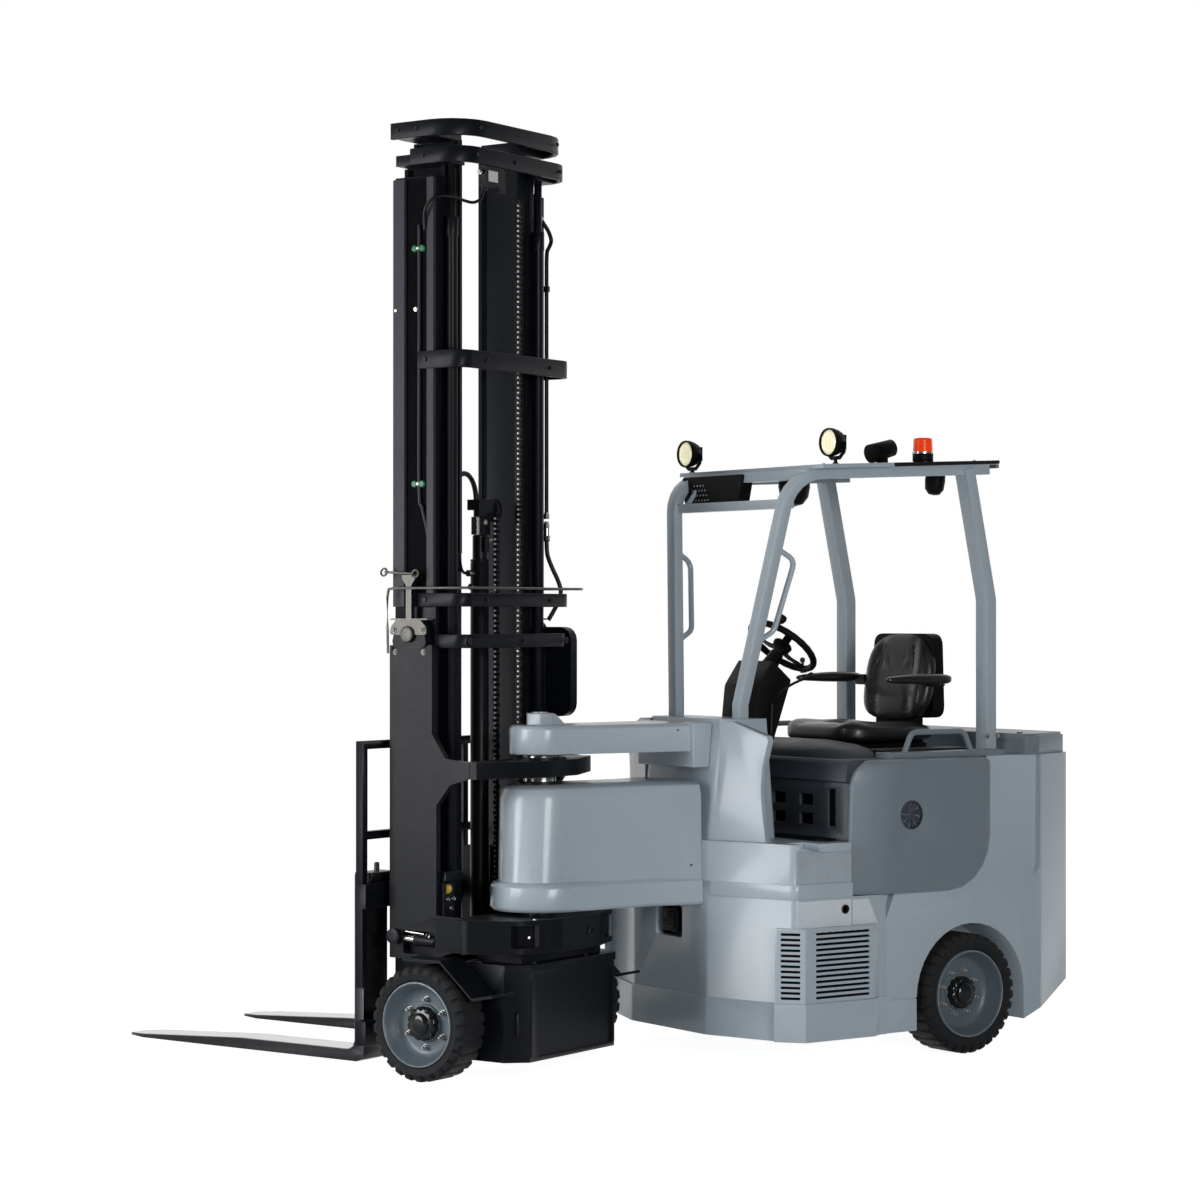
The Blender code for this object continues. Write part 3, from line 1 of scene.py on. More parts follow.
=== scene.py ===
"""Articulated forklift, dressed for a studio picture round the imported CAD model.

Places are given in the two units' own frames: x runs forward from the kingpin, y to the left and z up, in
metres. The front unit is drawn straight ahead and turned about the kingpin, as it rests.
"""

import logging
import math
from collections.abc import Callable, Sequence
from dataclasses import dataclass
from enum import Enum
from math import cos, pi, radians, sin

import bmesh
import bpy
from mathutils import Matrix, Vector, noise


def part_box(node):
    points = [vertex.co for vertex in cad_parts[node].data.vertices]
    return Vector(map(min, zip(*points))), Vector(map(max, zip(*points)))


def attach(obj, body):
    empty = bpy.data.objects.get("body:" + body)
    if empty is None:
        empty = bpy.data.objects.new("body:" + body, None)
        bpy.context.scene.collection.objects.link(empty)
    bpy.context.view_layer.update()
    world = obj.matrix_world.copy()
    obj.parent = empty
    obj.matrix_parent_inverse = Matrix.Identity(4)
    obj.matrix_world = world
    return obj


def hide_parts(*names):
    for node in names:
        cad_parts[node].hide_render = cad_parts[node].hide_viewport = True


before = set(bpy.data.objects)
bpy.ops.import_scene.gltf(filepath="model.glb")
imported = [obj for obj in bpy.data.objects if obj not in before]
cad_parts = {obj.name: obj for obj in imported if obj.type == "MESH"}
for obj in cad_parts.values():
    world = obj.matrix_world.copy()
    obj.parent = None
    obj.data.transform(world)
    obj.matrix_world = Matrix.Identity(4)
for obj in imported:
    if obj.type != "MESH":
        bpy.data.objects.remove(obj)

LOG = logging.getLogger("forklift")
Outline = Sequence[tuple[float, float]]
Place = Sequence[float]
Point = tuple[float, float, float]
Socket, Tree, Thing = bpy.types.NodeSocket, bpy.types.NodeTree, bpy.types.Object
COLOUR, FLOAT = "NodeSocketColor", "NodeSocketFloat"
SIDES = ((1, "left"), (-1, "right"))
UP, LEFT, AHEAD, ASTERN = (0, 0, 1), (0, 1, 0), (1, 0, 0), (-1, 0, 0)
# Turns and bends are in degrees, and the other lengths in metres.
STEER_AT_REST = -69
BEVEL_BEND = 34
SPLIT_BEND = 30
FLAT_BEND = 0.6
SAME_POINT = 2e-6
CAD_SAME_POINT = 2e-5
LEAST_RADIUS = 2e-4
SEAT_GAP = 0.0006
EDGE_CUT = 0.001
GREY = (0.5, 0.5, 0.5, 1)
WHITE = (1, 1, 1, 1)
DUST_COLOUR = (0.42, 0.41, 0.38, 1)
COAT_ROUGHNESS = 0.12
BASE_PLATE_TOP = 0.5765


class Unit(Enum):
    """The truck's two halves: the body their pieces ride on, and their turn about the kingpin at rest."""

    REAR = ("rear_unit", 0.0)
    FRONT = ("front_unit", radians(STEER_AT_REST))

    def __init__(self, body: str, turn: float) -> None:
        """Names both values."""
        self.body = body
        self.turn = turn


class Grain(Enum):
    """The fine surface of a finish."""

    ORANGE_PEEL = "orange_peel"
    CAST = "cast"
    HIDE = "hide"
    RUBBER = "rubber"
    BRUSHED = "brushed"
    SMOOTH = "smooth"


@dataclass(frozen=True)
class Finish:
    """What one kind of surface looks like.

    slot is the record's material slot for what wears it, gloss the level of its clear reflection, drift how
    much its tone varies, dust how much settles on what faces up, and the edge share and colour how far the
    edges turn lighter, partly rubbed wear and partly painted highlight.
    """

    name: str
    slot: str
    colour: Point
    roughness: float
    metallic: float = 0.0
    coat: float = 0.0
    gloss: float = 0.5
    drift: float = 0.06
    dust: float = 0.0
    # Edges turn toward this colour by this share: partly rubbed wear, partly painted highlight.
    edge_wear_and_highlight: float = 0.0
    edge_wear_and_highlight_colour: Point = (0.35, 0.36, 0.37)
    grain: Grain = Grain.SMOOTH
    grain_scale: float = 400.0
    grain_depth: float = 0.0002
    glow: float = 0.0


class Palette(Enum):
    """Every finish on the truck."""

    BODY = Finish(
        "body_enamel", "body_paint", (0.47, 0.545, 0.605), 0.34, coat=0.25, drift=0.05, dust=0.06,
        edge_wear_and_highlight=0.12, edge_wear_and_highlight_colour=(0.66, 0.7, 0.74), grain=Grain.ORANGE_PEEL, grain_scale=220,
        grain_depth=0.00025,
    )
    COVER = Finish(
        "cover_enamel", "cover_paint", (0.205, 0.25, 0.285), 0.42, coat=0.15, dust=0.05, edge_wear_and_highlight=0.1,
        edge_wear_and_highlight_colour=(0.4, 0.44, 0.47), grain=Grain.ORANGE_PEEL, grain_scale=260,
    )
    MAST = Finish(
        "mast_enamel", "mast_paint", (0.005, 0.0064, 0.01), 0.4, coat=0.03, gloss=0.18, drift=0.2,
        dust=0.01, edge_wear_and_highlight=0.14, edge_wear_and_highlight_colour=(0.06, 0.068, 0.085), grain=Grain.CAST, grain_scale=160,
    )
    SHEET = Finish(
        "black_sheet", "black_sheet", (0.007, 0.008, 0.01), 0.55, gloss=0.25, drift=0.15, dust=0.03,
        edge_wear_and_highlight=0.12, edge_wear_and_highlight_colour=(0.07, 0.07, 0.08), grain=Grain.CAST, grain_scale=240,
    )
    BRIGHT = Finish(
        "bright_steel", "bright_steel", (0.6, 0.6, 0.58), 0.26, 1.0, drift=0.1, grain=Grain.BRUSHED,
        grain_scale=60, grain_depth=0.0001,
    )
    GREY_STEEL = Finish(
        "grey_steel", "bright_steel", (0.36, 0.36, 0.35), 0.45, 0.7, drift=0.15, edge_wear_and_highlight=0.25,
        edge_wear_and_highlight_colour=(0.6, 0.6, 0.58), grain=Grain.CAST, grain_scale=300, grain_depth=0.0003,
    )
    DARK = Finish(
        "dark_steel", "dark_steel", (0.016, 0.017, 0.02), 0.42, 0.5, gloss=0.3, drift=0.2, edge_wear_and_highlight=0.2,
        edge_wear_and_highlight_colour=(0.16, 0.16, 0.17), grain=Grain.CAST, grain_scale=300,
    )
    STEP = Finish(
        "step_plate", "bright_steel", (0.5, 0.57, 0.62), 0.36, 0.25, drift=0.16, edge_wear_and_highlight=0.1,
        grain=Grain.BRUSHED, grain_scale=40, grain_depth=0.0001,
    )
    TYRE = Finish(
        "tyre_rubber", "tyre_rubber", (0.011, 0.012, 0.014), 0.7, gloss=0.3, drift=0.25, dust=0.05,
        edge_wear_and_highlight=0.15, edge_wear_and_highlight_colour=(0.04, 0.042, 0.046), grain=Grain.RUBBER, grain_scale=220,
        grain_depth=0.0006,
    )
    RIM = Finish(
        "rim_enamel", "rim_paint", (0.125, 0.162, 0.19), 0.42, 0.1, coat=0.1, drift=0.14, dust=0.05,
        edge_wear_and_highlight=0.6, edge_wear_and_highlight_colour=(0.5, 0.54, 0.57), grain=Grain.CAST, grain_scale=220, grain_depth=0.00025,
    )
    PLASTIC = Finish(
        "black_plastic", "black_plastic", (0.005, 0.005, 0.006), 0.5, gloss=0.12, drift=0.12, dust=0.01,
        grain=Grain.RUBBER, grain_scale=500,
    )
    GLOSS = Finish("gloss_black", "black_plastic", (0.005, 0.006, 0.008), 0.18, coat=0.25, drift=0.1)
    FORGED = Finish(
        "forged_steel", "bright_steel", (0.15, 0.143, 0.132), 0.45, 0.5, gloss=0.35, drift=0.2, edge_wear_and_highlight=0.3,
        edge_wear_and_highlight_colour=(0.32, 0.31, 0.29), grain=Grain.CAST, grain_scale=300, grain_depth=0.0003,
    )
    PALE = Finish(
        "pale_plate", "bright_steel", (0.8, 0.86, 0.9), 0.36, 0.15, drift=0.1, edge_wear_and_highlight=0.1,
        grain=Grain.BRUSHED, grain_scale=40
    )
    # Painted highlight: the mast paint made lighter for the rail flanges and pipe that face the light.
    MAST_HIGHLIT = Finish(
        "mast_painted_highlight", "mast_paint", (0.034, 0.038, 0.049), 0.5, gloss=0.3, drift=0.2, edge_wear_and_highlight=0.15,
        edge_wear_and_highlight_colour=(0.07, 0.075, 0.09)
    )
    # Painted shade: a near-black matte finish for panels set where slots, vents and the rail web fall in
    # shade.
    SHADE = Finish("painted_shade_black", "black_sheet", (0.002, 0.002, 0.003), 0.8, gloss=0.1, drift=0.1)
    HIDE = Finish(
        "seat_hide", "seat_cover", (0.01, 0.01, 0.011), 0.34, coat=0.25, drift=0.2, dust=0.03, edge_wear_and_highlight=0.2,
        edge_wear_and_highlight_colour=(0.05, 0.05, 0.052), grain=Grain.HIDE, grain_scale=170, grain_depth=0.0007,
    )
    LENS = Finish("lamp_lens", "lamp_lens", (0.93, 0.88, 0.62), 0.22, coat=0.4, drift=0.04, glow=0.42)
    BEACON = Finish(
        "beacon_lens", "beacon_lens", (0.92, 0.06, 0.003), 0.2, coat=0.2, gloss=0.3, drift=0.08, glow=0.3
    )
    HOSE = Finish(
        "hose_rubber", "hose_rubber", (0.004, 0.004, 0.005), 0.42, gloss=0.3, drift=0.1, grain=Grain.RUBBER,
        grain_scale=700
    )
    CHAIN = Finish(
        "chain_steel", "chain_steel", (0.012, 0.012, 0.013), 0.45, 0.6, gloss=0.3, drift=0.3, edge_wear_and_highlight=0.2,
        edge_wear_and_highlight_colour=(0.1, 0.1, 0.1), grain=Grain.CAST, grain_scale=500, grain_depth=0.0001,
    )
    # Bright pin steel, made near white so that the pin ends also paint glints along the chain.
    PIN_AND_GLINT = Finish("chain_pin_and_painted_glint", "chain_steel", (0.85, 0.85, 0.83), 0.35, 0.3, drift=0.1)
    FORK = Finish(
        "fork_steel", "fork_steel", (0.035, 0.036, 0.04), 0.4, 0.7, drift=0.3, edge_wear_and_highlight=0.6,
        edge_wear_and_highlight_colour=(0.5, 0.5, 0.5), grain=Grain.BRUSHED, grain_scale=50,
    )
    FORK_TOP = Finish(
        "fork_polish", "bright_steel", (0.72, 0.72, 0.71), 0.32, 0.85, drift=0.12, grain=Grain.BRUSHED,
        grain_scale=50,
    )
    YELLOW = Finish("yellow_cap", "body_paint", (0.55, 0.38, 0.02), 0.4, drift=0.15, edge_wear_and_highlight=0.2)
    GREEN = Finish("green_clamp", "black_plastic", (0.01, 0.16, 0.07), 0.35, drift=0.1)
    RED = Finish("red_knob", "black_plastic", (0.45, 0.012, 0.01), 0.3, drift=0.05)
    SLATE = Finish(
        "slate_trim", "black_plastic", (0.04, 0.05, 0.064), 0.5, drift=0.12, dust=0.05, grain=Grain.RUBBER,
        grain_scale=300,
    )


class Nodes:
    """A node tree in the making."""

    def __init__(self, tree: Tree) -> None:
        """Starts from a tree."""
        self.tree = tree

    @classmethod
    def group(cls, name: str, inputs: dict[str, object], outputs: Sequence[str]) -> "Nodes":
        """Makes a group whose sockets carry a colour where their label ends so, and else a number.

        Args:
            name: the group's name.
            inputs: the first value of each input.
            outputs: the outputs.

        Returns:
            The group's tree, with its input and output nodes in place.
        """
        made = cls(bpy.data.node_groups.new(name, "ShaderNodeTree"))
        for label, value in inputs.items():
            kind = COLOUR if label.endswith("Color") else FLOAT
            made.tree.interface.new_socket(label, in_out="INPUT", socket_type=kind).default_value = value
        for label in outputs:
            kind = COLOUR if label.endswith("Color") else FLOAT
            made.tree.interface.new_socket(label, in_out="OUTPUT", socket_type=kind)
        made.add("NodeGroupInput", name="in")
        made.add("NodeGroupOutput", name="out")
        return made

    def given(self, label: str) -> Socket:
        """Gives the socket through which a group's input comes."""
        return self.tree.nodes["in"].outputs[label]

    def feed(self, slot: Socket, value: object) -> None:
        """Links a socket to an input, or gives the input a value.

        Args:
            slot: the input.
            value: the socket or the value.
        """
        if isinstance(value, Socket):
            self.tree.links.new(value, slot)
        else:
            slot.default_value = value

    def fill(self, node: bpy.types.Node | str, inputs: dict[str | int, object]) -> bpy.types.Node:
        """Feeds a node's inputs.

        Args:
            node: the node, or its name.
            inputs: a socket or a value for each input.

        Returns:
            The node.
        """
        found = self.tree.nodes[node] if isinstance(node, str) else node
        for key, value in inputs.items():
            self.feed(found.inputs[key], value)
        return found

    def add(
        self, kind: str, inputs: dict[str | int, object] | None = None, **settings: object
    ) -> bpy.types.Node:
        """Adds a node.

        Args:
            kind: its type.
            inputs: a socket or a value for each input.
            settings: its properties.

        Returns:
            The node.
        """
        made = self.tree.nodes.new(kind)
        for key, value in settings.items():
            setattr(made, key, value)
        return self.fill(made, inputs or {})

    def math(self, kind: str, *values: object, clamp: bool = False) -> Socket:
        """Adds a Math node.

        Args:
            kind: its operation.
            values: a socket or a number for each input.
            clamp: whether the result stays between 0 and 1.

        Returns:
            Its output socket.
        """
        return self.add(
            "ShaderNodeMath", dict(enumerate(values)), operation=kind, use_clamp=clamp
        ).outputs[0]

    def noise(self, scale: object, detail: float, rough: float) -> Socket:
        """Adds a Noise node on object coordinates.

        Args:
            scale: a socket or a number.
            detail: its octaves.
            rough: how strong the fine ones are.

        Returns:
            Its output socket.
        """
        spot = self.add("ShaderNodeTexCoord").outputs["Object"]
        inputs = {"Vector": spot, "Scale": scale, "Detail": detail, "Roughness": rough}
        return self.add("ShaderNodeTexNoise", inputs).outputs["Fac"]

    def blend(self, share: object, first: object, second: object) -> Socket:
        """Mixes two colours.

        Args:
            share: how much of the second, as a socket or a number.
            first: a colour socket or value.
            second: a colour socket or value.

        Returns:
            The mixed colour's socket.
        """
        return self.add("ShaderNodeMix", {0: share, 6: first, 7: second}, data_type="RGBA").outputs[2]


class FinishShop:
    """Builds the shader groups once, and one material for each finish."""

    def __init__(self) -> None:
        """Makes the groups that the materials share."""
        self.made: dict[str, bpy.types.Material] = {}
        self.tone = self._tone_group()
        # The edge group paints rubbed wear and highlight along the edges.
        self.edges = self._edge_group()
        self.grains = {
            Grain.ORANGE_PEEL: self._grain_group("orange_peel", 2.0, 0.5, 0.0),
            Grain.CAST: self._grain_group("cast", 5.0, 0.7, 0.0),
            Grain.RUBBER: self._grain_group("rubber", 3.0, 0.6, 0.0),
            Grain.BRUSHED: self._grain_group("brushed", 3.0, 0.6, 24.0),
            Grain.HIDE: self._hide_group(),
        }

    @staticmethod
    def _tone_group() -> Tree:
        """Broad drift of tone and roughness, fine mottling, and dust on what faces up.

        Returns:
            The group.
        """
        inputs = {"Color": GREY, "Drift": 0.1, "Dust": 0.1, "Roughness": 0.5}
        nodes = Nodes.group("tone_and_dust", inputs, ("Color", "Roughness"))
        broad = nodes.noise(2.3, 3.0, 0.55)
        fine = nodes.noise(38.0, 4.0, 0.65)
        centred = nodes.math("SUBTRACT", nodes.math("ADD", broad, fine), 1.0)
        swing = nodes.math("MULTIPLY", centred, nodes.given("Drift"))
        gain = nodes.math("MULTIPLY_ADD", swing, 1.8, 1.0)
        toned = nodes.add(
            "ShaderNodeVectorMath", {0: nodes.given("Color"), "Scale": gain}, operation="SCALE"
        )
        facing = nodes.add("ShaderNodeNewGeometry").outputs["Normal"]
        up = nodes.math("MAXIMUM", nodes.add("ShaderNodeSeparateXYZ", {0: facing}).outputs["Z"], 0.0)
        patch = nodes.math("MULTIPLY", up, fine)
        layer = nodes.math("MULTIPLY", patch, nodes.given("Dust"))
        layer = nodes.math("MULTIPLY", layer, 2.0, clamp=True)
        dusted = nodes.blend(layer, toned.outputs[0], DUST_COLOUR)
        rough = nodes.math("MULTIPLY_ADD", centred, 0.22, nodes.given("Roughness"))
        dusty = nodes.math("MULTIPLY_ADD", layer, 0.4, rough, clamp=True)
        nodes.fill("out", {"Color": dusted, "Roughness": dusty})
        return nodes.tree

    @staticmethod
    def _edge_group() -> Tree:
        """Edges turned toward a lighter colour, partly rubbed wear and partly painted highlight: where the
        rounded normal leaves the flat one, broken up by noise.

        Returns:
            The group.
        """
        nodes = Nodes.group("worn_and_highlit_edges", {"Color": GREY, "Worn And Highlit Edge Color": GREY, "Wear And Highlight": 0.2}, ("Color",))
        rounded = nodes.add("ShaderNodeBevel", {"Radius": 0.005}, samples=3).outputs[0]
        facing = nodes.add("ShaderNodeNewGeometry").outputs["Normal"]
        dot = nodes.add("ShaderNodeVectorMath", {0: rounded, 1: facing}, operation="DOT_PRODUCT")
        edge = nodes.math("SUBTRACT", 1.0, dot.outputs["Value"])
        edge = nodes.math("MULTIPLY", edge, 5.0)
        edge = nodes.math("MULTIPLY", edge, nodes.noise(45.0, 4.0, 0.7))
        edge = nodes.math("MULTIPLY", edge, nodes.given("Wear And Highlight"))
        edge = nodes.math("MULTIPLY", edge, 2.0, clamp=True)
        # The lighter edge colour is mixed in here: rubbed wear and painted highlight along the edges.
        nodes.fill("out", {"Color": nodes.blend(edge, nodes.given("Color"), nodes.given("Worn And Highlit Edge Color"))})
        return nodes.tree

    @staticmethod
    def _grain_group(name: str, detail: float, rough: float, stretch: float) -> Tree:
        """A noise grain, drawn out along the height where stretch is given.

        Args:
            name: the group's name.
            detail: the noise's octaves.
            rough: how strong the fine ones are.
            stretch: how many times longer it is one way, or 0.

        Returns:
            The group.
        """
        nodes = Nodes.group(name, {"Scale": 200.0}, ("Height",))
        grain = nodes.noise(nodes.given("Scale"), detail, rough)
        if stretch:
            vector = grain.node.inputs["Vector"]
            spot = vector.links[0].from_socket
            turned = {"Vector": spot, "Scale": (1, 1, stretch), "Rotation": (0.1, 0.06, 0.3)}
            nodes.feed(vector, nodes.add("ShaderNodeMapping", turned).outputs[0])
        nodes.fill("out", {"Height": grain})
        return nodes.tree

    @staticmethod
    def _hide_group() -> Tree:
        """Pebbled hide: cells with creases between them over a soft noise.

        Returns:
            The group.
        """
        nodes = Nodes.group("hide", {"Scale": 200.0}, ("Height",))
        scale = nodes.given("Scale")
        inputs = {"Vector": nodes.add("ShaderNodeTexCoord").outputs["Object"], "Scale": scale}
        cells = nodes.add("ShaderNodeTexVoronoi", inputs, feature="DISTANCE_TO_EDGE")
        bumps = nodes.math("MULTIPLY", cells.outputs["Distance"], 1.6)
        nodes.fill("out", {"Height": nodes.math("ADD", bumps, nodes.noise(scale, 3.0, 0.5))})
        return nodes.tree

    def get(self, choice: Palette) -> bpy.types.Material:
        """Gives the material of a finish, and builds it the first time.

        Args:
            choice: the finish.

        Returns:
            Its material.
        """
        finish = choice.value
        if finish.name not in self.made:
            self.made[finish.name] = self._build(finish)
        return self.made[finish.name]

    def _build(self, finish: Finish) -> bpy.types.Material:
        """Makes the material of a finish.

        Args:
            finish: its values.

        Returns:
            The material.
        """
        made = bpy.data.materials.new(finish.name)
        made.use_nodes = True
        nodes = Nodes(made.node_tree)
        base = {
            "Color": (*finish.colour, 1), "Drift": finish.drift, "Dust": finish.dust,
            "Roughness": finish.roughness,
        }
        tone = nodes.add("ShaderNodeGroup", base, node_tree=self.tone)
        colour = tone.outputs["Color"]
        # Edges get a lighter colour: partly rubbed wear, partly painted highlight.
        if finish.edge_wear_and_highlight:
            worn_and_lit_edges = {"Color": colour, "Worn And Highlit Edge Color": (*finish.edge_wear_and_highlight_colour, 1), "Wear And Highlight": finish.edge_wear_and_highlight}
            colour = nodes.add("ShaderNodeGroup", worn_and_lit_edges, node_tree=self.edges).outputs["Color"]
        look = {
            "Base Color": colour, "Roughness": tone.outputs["Roughness"], "Metallic": finish.metallic,
            "Specular IOR Level": finish.gloss, "Coat Weight": finish.coat, "Coat Roughness": COAT_ROUGHNESS,
        }
        if finish.glow:
            look |= {"Emission Color": colour, "Emission Strength": finish.glow}
        if finish.grain is not Grain.SMOOTH:
            group = self.grains[finish.grain]
            grain = nodes.add("ShaderNodeGroup", {"Scale": finish.grain_scale}, node_tree=group)
            relief = {"Strength": 0.6, "Distance": finish.grain_depth, "Height": grain.outputs["Height"]}
            look["Normal"] = nodes.add("ShaderNodeBump", relief).outputs["Normal"]
        nodes.fill("Principled BSDF", look)
        return made


def stand(name: str, data: bpy.types.ID) -> Thing:
    """Puts data into the scene as an object.

    Args:
        name: the object's name.
        data: its mesh, curve, lamp or camera.

    Returns:
        The object.
    """
    made = bpy.data.objects.new(name, data)
    bpy.context.scene.collection.objects.link(made)
    return made


@dataclass(frozen=True)
class Site:
    """Where the truck stands: the kingpin's foot in the world."""

    kingpin: Vector

    def place(self, unit: Unit) -> Matrix:
        """Gives the matrix from a unit's own frame to the world."""
        return Matrix.Translation(self.kingpin) @ Matrix.Rotation(unit.turn, 4, "Z")


def span(side: int, near: float, far: float) -> list[float]:
    """Gives two distances to one side, 1 or -1, in rising order."""
    return sorted((side * near, side * far))


def arc_outline(centre: tuple[float, float], radius: float, sides: int) -> list[tuple[float, float]]:
    """Gives the outline of a circle.

    Args:
        centre: its middle.
        radius: its radius.
        sides: how many points it has.

    Returns:
        The points, anticlockwise.
    """
    turns = (2 * pi * k / sides for k in range(sides))
    return [(centre[0] + radius * cos(a), centre[1] + radius * sin(a)) for a in turns]


def soft_outline(corners: Outline, radius: float, steps: int = 5) -> list[tuple[float, float]]:
    """Rounds the corners of a closed outline.

    Args:
        corners: its corners in order.
        radius: the radius at each.
        steps: how many points each round has, less one.

    Returns:
        The rounded outline.
    """
    result: list[tuple[float, float]] = []
    for i, corner in enumerate(corners):
        here = Vector(corner)
        back = Vector(corners[i - 1]) - here
        ahead = Vector(corners[(i + 1) % len(corners)]) - here
        reach = min(radius, back.length * 0.49, ahead.length * 0.49)
        start, end = here + back.normalized() * reach, here + ahead.normalized() * reach
        for k in range(steps + 1):
            share = k / steps
            result.append(tuple(start.lerp(here, share).lerp(here.lerp(end, share), share)))
    return result


def smooth_path(points: Sequence[Place], steps: int = 6) -> list[Vector]:
    """Runs a smooth curve through points.

    Args:
        points: what it passes through.
        steps: how many pieces lie between two of them.

    Returns:
        The curve's points.
    """
    known = [Vector(p) for p in points]
    known = [known[0] * 2 - known[1], *known, known[-1] * 2 - known[-2]]
    result: list[Vector] = []
    for a, b, c, d in zip(known, known[1:], known[2:], known[3:]):
        for k in range(steps):
            t = k / steps
            result.append(
                0.5 * (
                    2 * b + (c - a) * t + (
                        2 * a - 5 * b + 4 * c - d
                    ) * t * t + (3 * b - a - 3 * c + d) * t**3
                )
            )
    return [*result, known[-2]]


def smoothstep(low: float, high: float, value: float) -> float:
    """Rises smoothly from 0 at low to 1 at high.

    Args:
        low: where it starts.
        high: where it ends, which may lie below low.
        value: the place.

    Returns:
        The height there.
    """
    share = min(1.0, max(0.0, (value - low) / (high - low)))
    return share * share * (3 - 2 * share)


class Shape:
    """A mesh in the making, drawn in one unit's own frame."""

    def __init__(self, unit: Unit) -> None:
        """Starts an empty mesh for a unit."""
        self.unit = unit
        self.work = bmesh.new()

    def rings(self, rings: Sequence[Sequence[Place]], looped: bool = False, capped: bool = True) -> "Shape":
        """Skins rings of as many points each.

        Args:
            rings: the rings in order.
            looped: whether the last joins the first.
            capped: whether the open ends are closed.

        Returns:
            This shape.
        """
        rows = [[self.work.verts.new(Vector(p)) for p in ring] for ring in rings]
        count = len(rows[0])
        pairs = list(zip(rows, rows[1:])) + ([(rows[-1], rows[0])] if looped else [])
        for low, high in pairs:
            for i in range(count):
                j = (i + 1) % count
                self.work.faces.new((low[i], low[j], high[j], high[i]))
        if capped and not looped:
            self.work.faces.new(rows[0])
            self.work.faces.new(rows[-1])
        return self

    def prism(self, outline: Outline, low: float, high: float, axis: str = "z") -> "Shape":
        """Extrudes an outline: (x, y) along z, (x, z) along y or (y, z) along x.

        Args:
            outline: the closed outline.
            low: where it starts.
            high: where it ends.
            axis: the way it runs.

        Returns:
            This shape.
        """
        spot: dict[str, Callable[[float, float, float], Place]] = {
            "z": lambda a, b, c: (a, b, c),
            "y": lambda a, b, c: (a, c, b),
            "x": lambda a, b, c: (c, a, b),
        }
        return self.rings([[spot[axis](a, b, level) for a, b in outline] for level in (low, high)])

    def box(self, xs: Place, ys: Place, zs: Place) -> "Shape":
        """Adds a block between two values on each axis."""
        return self.prism([(xs[0], ys[0]), (xs[1], ys[0]), (xs[1], ys[1]), (xs[0], ys[1])], *zs)

    def lathe(
        self, profile: Outline, centre: Place, axis: Place, sides: int = 32, closed: bool = False
    ) -> "Shape":
        """Turns (along, radius) pairs about an axis.

        Args:
            profile: the pairs in order.
            centre: the origin of along.
            axis: the way it points.
            sides: how many sides it has.
            closed: whether the profile is a loop, and not an open line with capped ends.

        Returns:
            This shape.
        """
        turn = Vector(axis).to_track_quat("Z", "Y")
        rings = []
        for along, radius in profile:
            rings.append(
                [
                    Vector(centre) + turn @ Vector((x, y, along))
                    for x, y in arc_outline((0, 0), max(radius, LEAST_RADIUS), sides)
                ]
            )
        return self.rings(rings, looped=closed)

    def rod(self, start: Place, end: Place, radius: float, sides: int = 20) -> "Shape":
        """Adds a round bar.

        Args:
            start: one end.
            end: the other end.
            radius: its radius.
            sides: how many sides it has.

        Returns:
            This shape.
        """
        run = Vector(end) - Vector(start)
        return self.lathe([(0.0, radius), (run.length, radius)], start, run, sides)

    def sweep(self, path: Sequence[Place], section: Outline, up: Place = UP) -> "Shape":
        """Carries a section of (across, up) pairs along a path.

        Args:
            path: the path's points.
            section: the closed section.
            up: a direction that the path never takes.

        Returns:
            This shape.
        """
        path = [Vector(p) for p in path]
        rings = []
        for i, here in enumerate(path):
            before = (here - path[i - 1]).normalized() if i else (path[1] - here).normalized()
            after = (path[i + 1] - here).normalized() if i + 1 < len(path) else before
            along = (before + after).normalized()
            across = along.cross(Vector(up)).normalized()
            rise = across.cross(along).normalized()
            grow = 1 / max(0.6, along.dot(before))
            rings.append([here + (across * a + rise * b) * grow for a, b in section])
        return self.rings(rings)

    def tube(self, points: Sequence[Place], radius: float, sides: int, up: Place = UP) -> "Shape":
        """Adds a round tube on a smooth path through points."""
        return self.sweep(smooth_path(points, 5), arc_outline((0, 0), radius, sides), up)

    def bolt(self, spot: Place, axis: Place, size: float, washer: bool = True) -> "Shape":
        """Adds a hexagon head on a washer.

        Args:
            spot: the middle of its seat.
            axis: the way it points.
            size: half its width.
            washer: whether it has one.

        Returns:
            This shape.
        """
        height = size * 0.75
        if washer:
            self.lathe([(0, size * 1.35), (size * 0.25, size * 1.35)], spot, axis, 20)
        self.lathe([(0, size), (height * 0.8, size), (height, size * 0.85)], spot, axis, 6)
        return self

    def union(
        self, spot: Place, axis: Place, size: float, height: float, neck: float, length: float,
    ) -> "Shape":
        """Adds a six-sided union with a narrower neck.

        Args:
            spot: the middle of its foot.
            axis: the way it points.
            size: half its width.
            height: how long the wide part is.
            neck: half the neck's width.
            length: how long it is in all.

        Returns:
            This shape.
        """
        profile = [(0, size), (height, size), (height + EDGE_CUT, neck), (length, neck)]
        return self.lathe(profile, spot, axis, 6)

    def copy_turned(self, count: int, centre: Place, axis: Place) -> "Shape":
        """Repeats all that is drawn so far round an axis.

        Args:
            count: how many there are in all.
            centre: a point on the axis.
            axis: its direction.

        Returns:
            This shape.
        """
        geometry = self.work.verts[:] + self.work.edges[:] + self.work.faces[:]
        for k in range(1, count):
            made = bmesh.ops.duplicate(self.work, geom=geometry)["geom"]
            verts = [item for item in made if isinstance(item, bmesh.types.BMVert)]
            turn = Matrix.Rotation(2 * pi * k / count, 3, Vector(axis))
            bmesh.ops.rotate(self.work, verts=verts, cent=Vector(centre), matrix=turn)
        return self


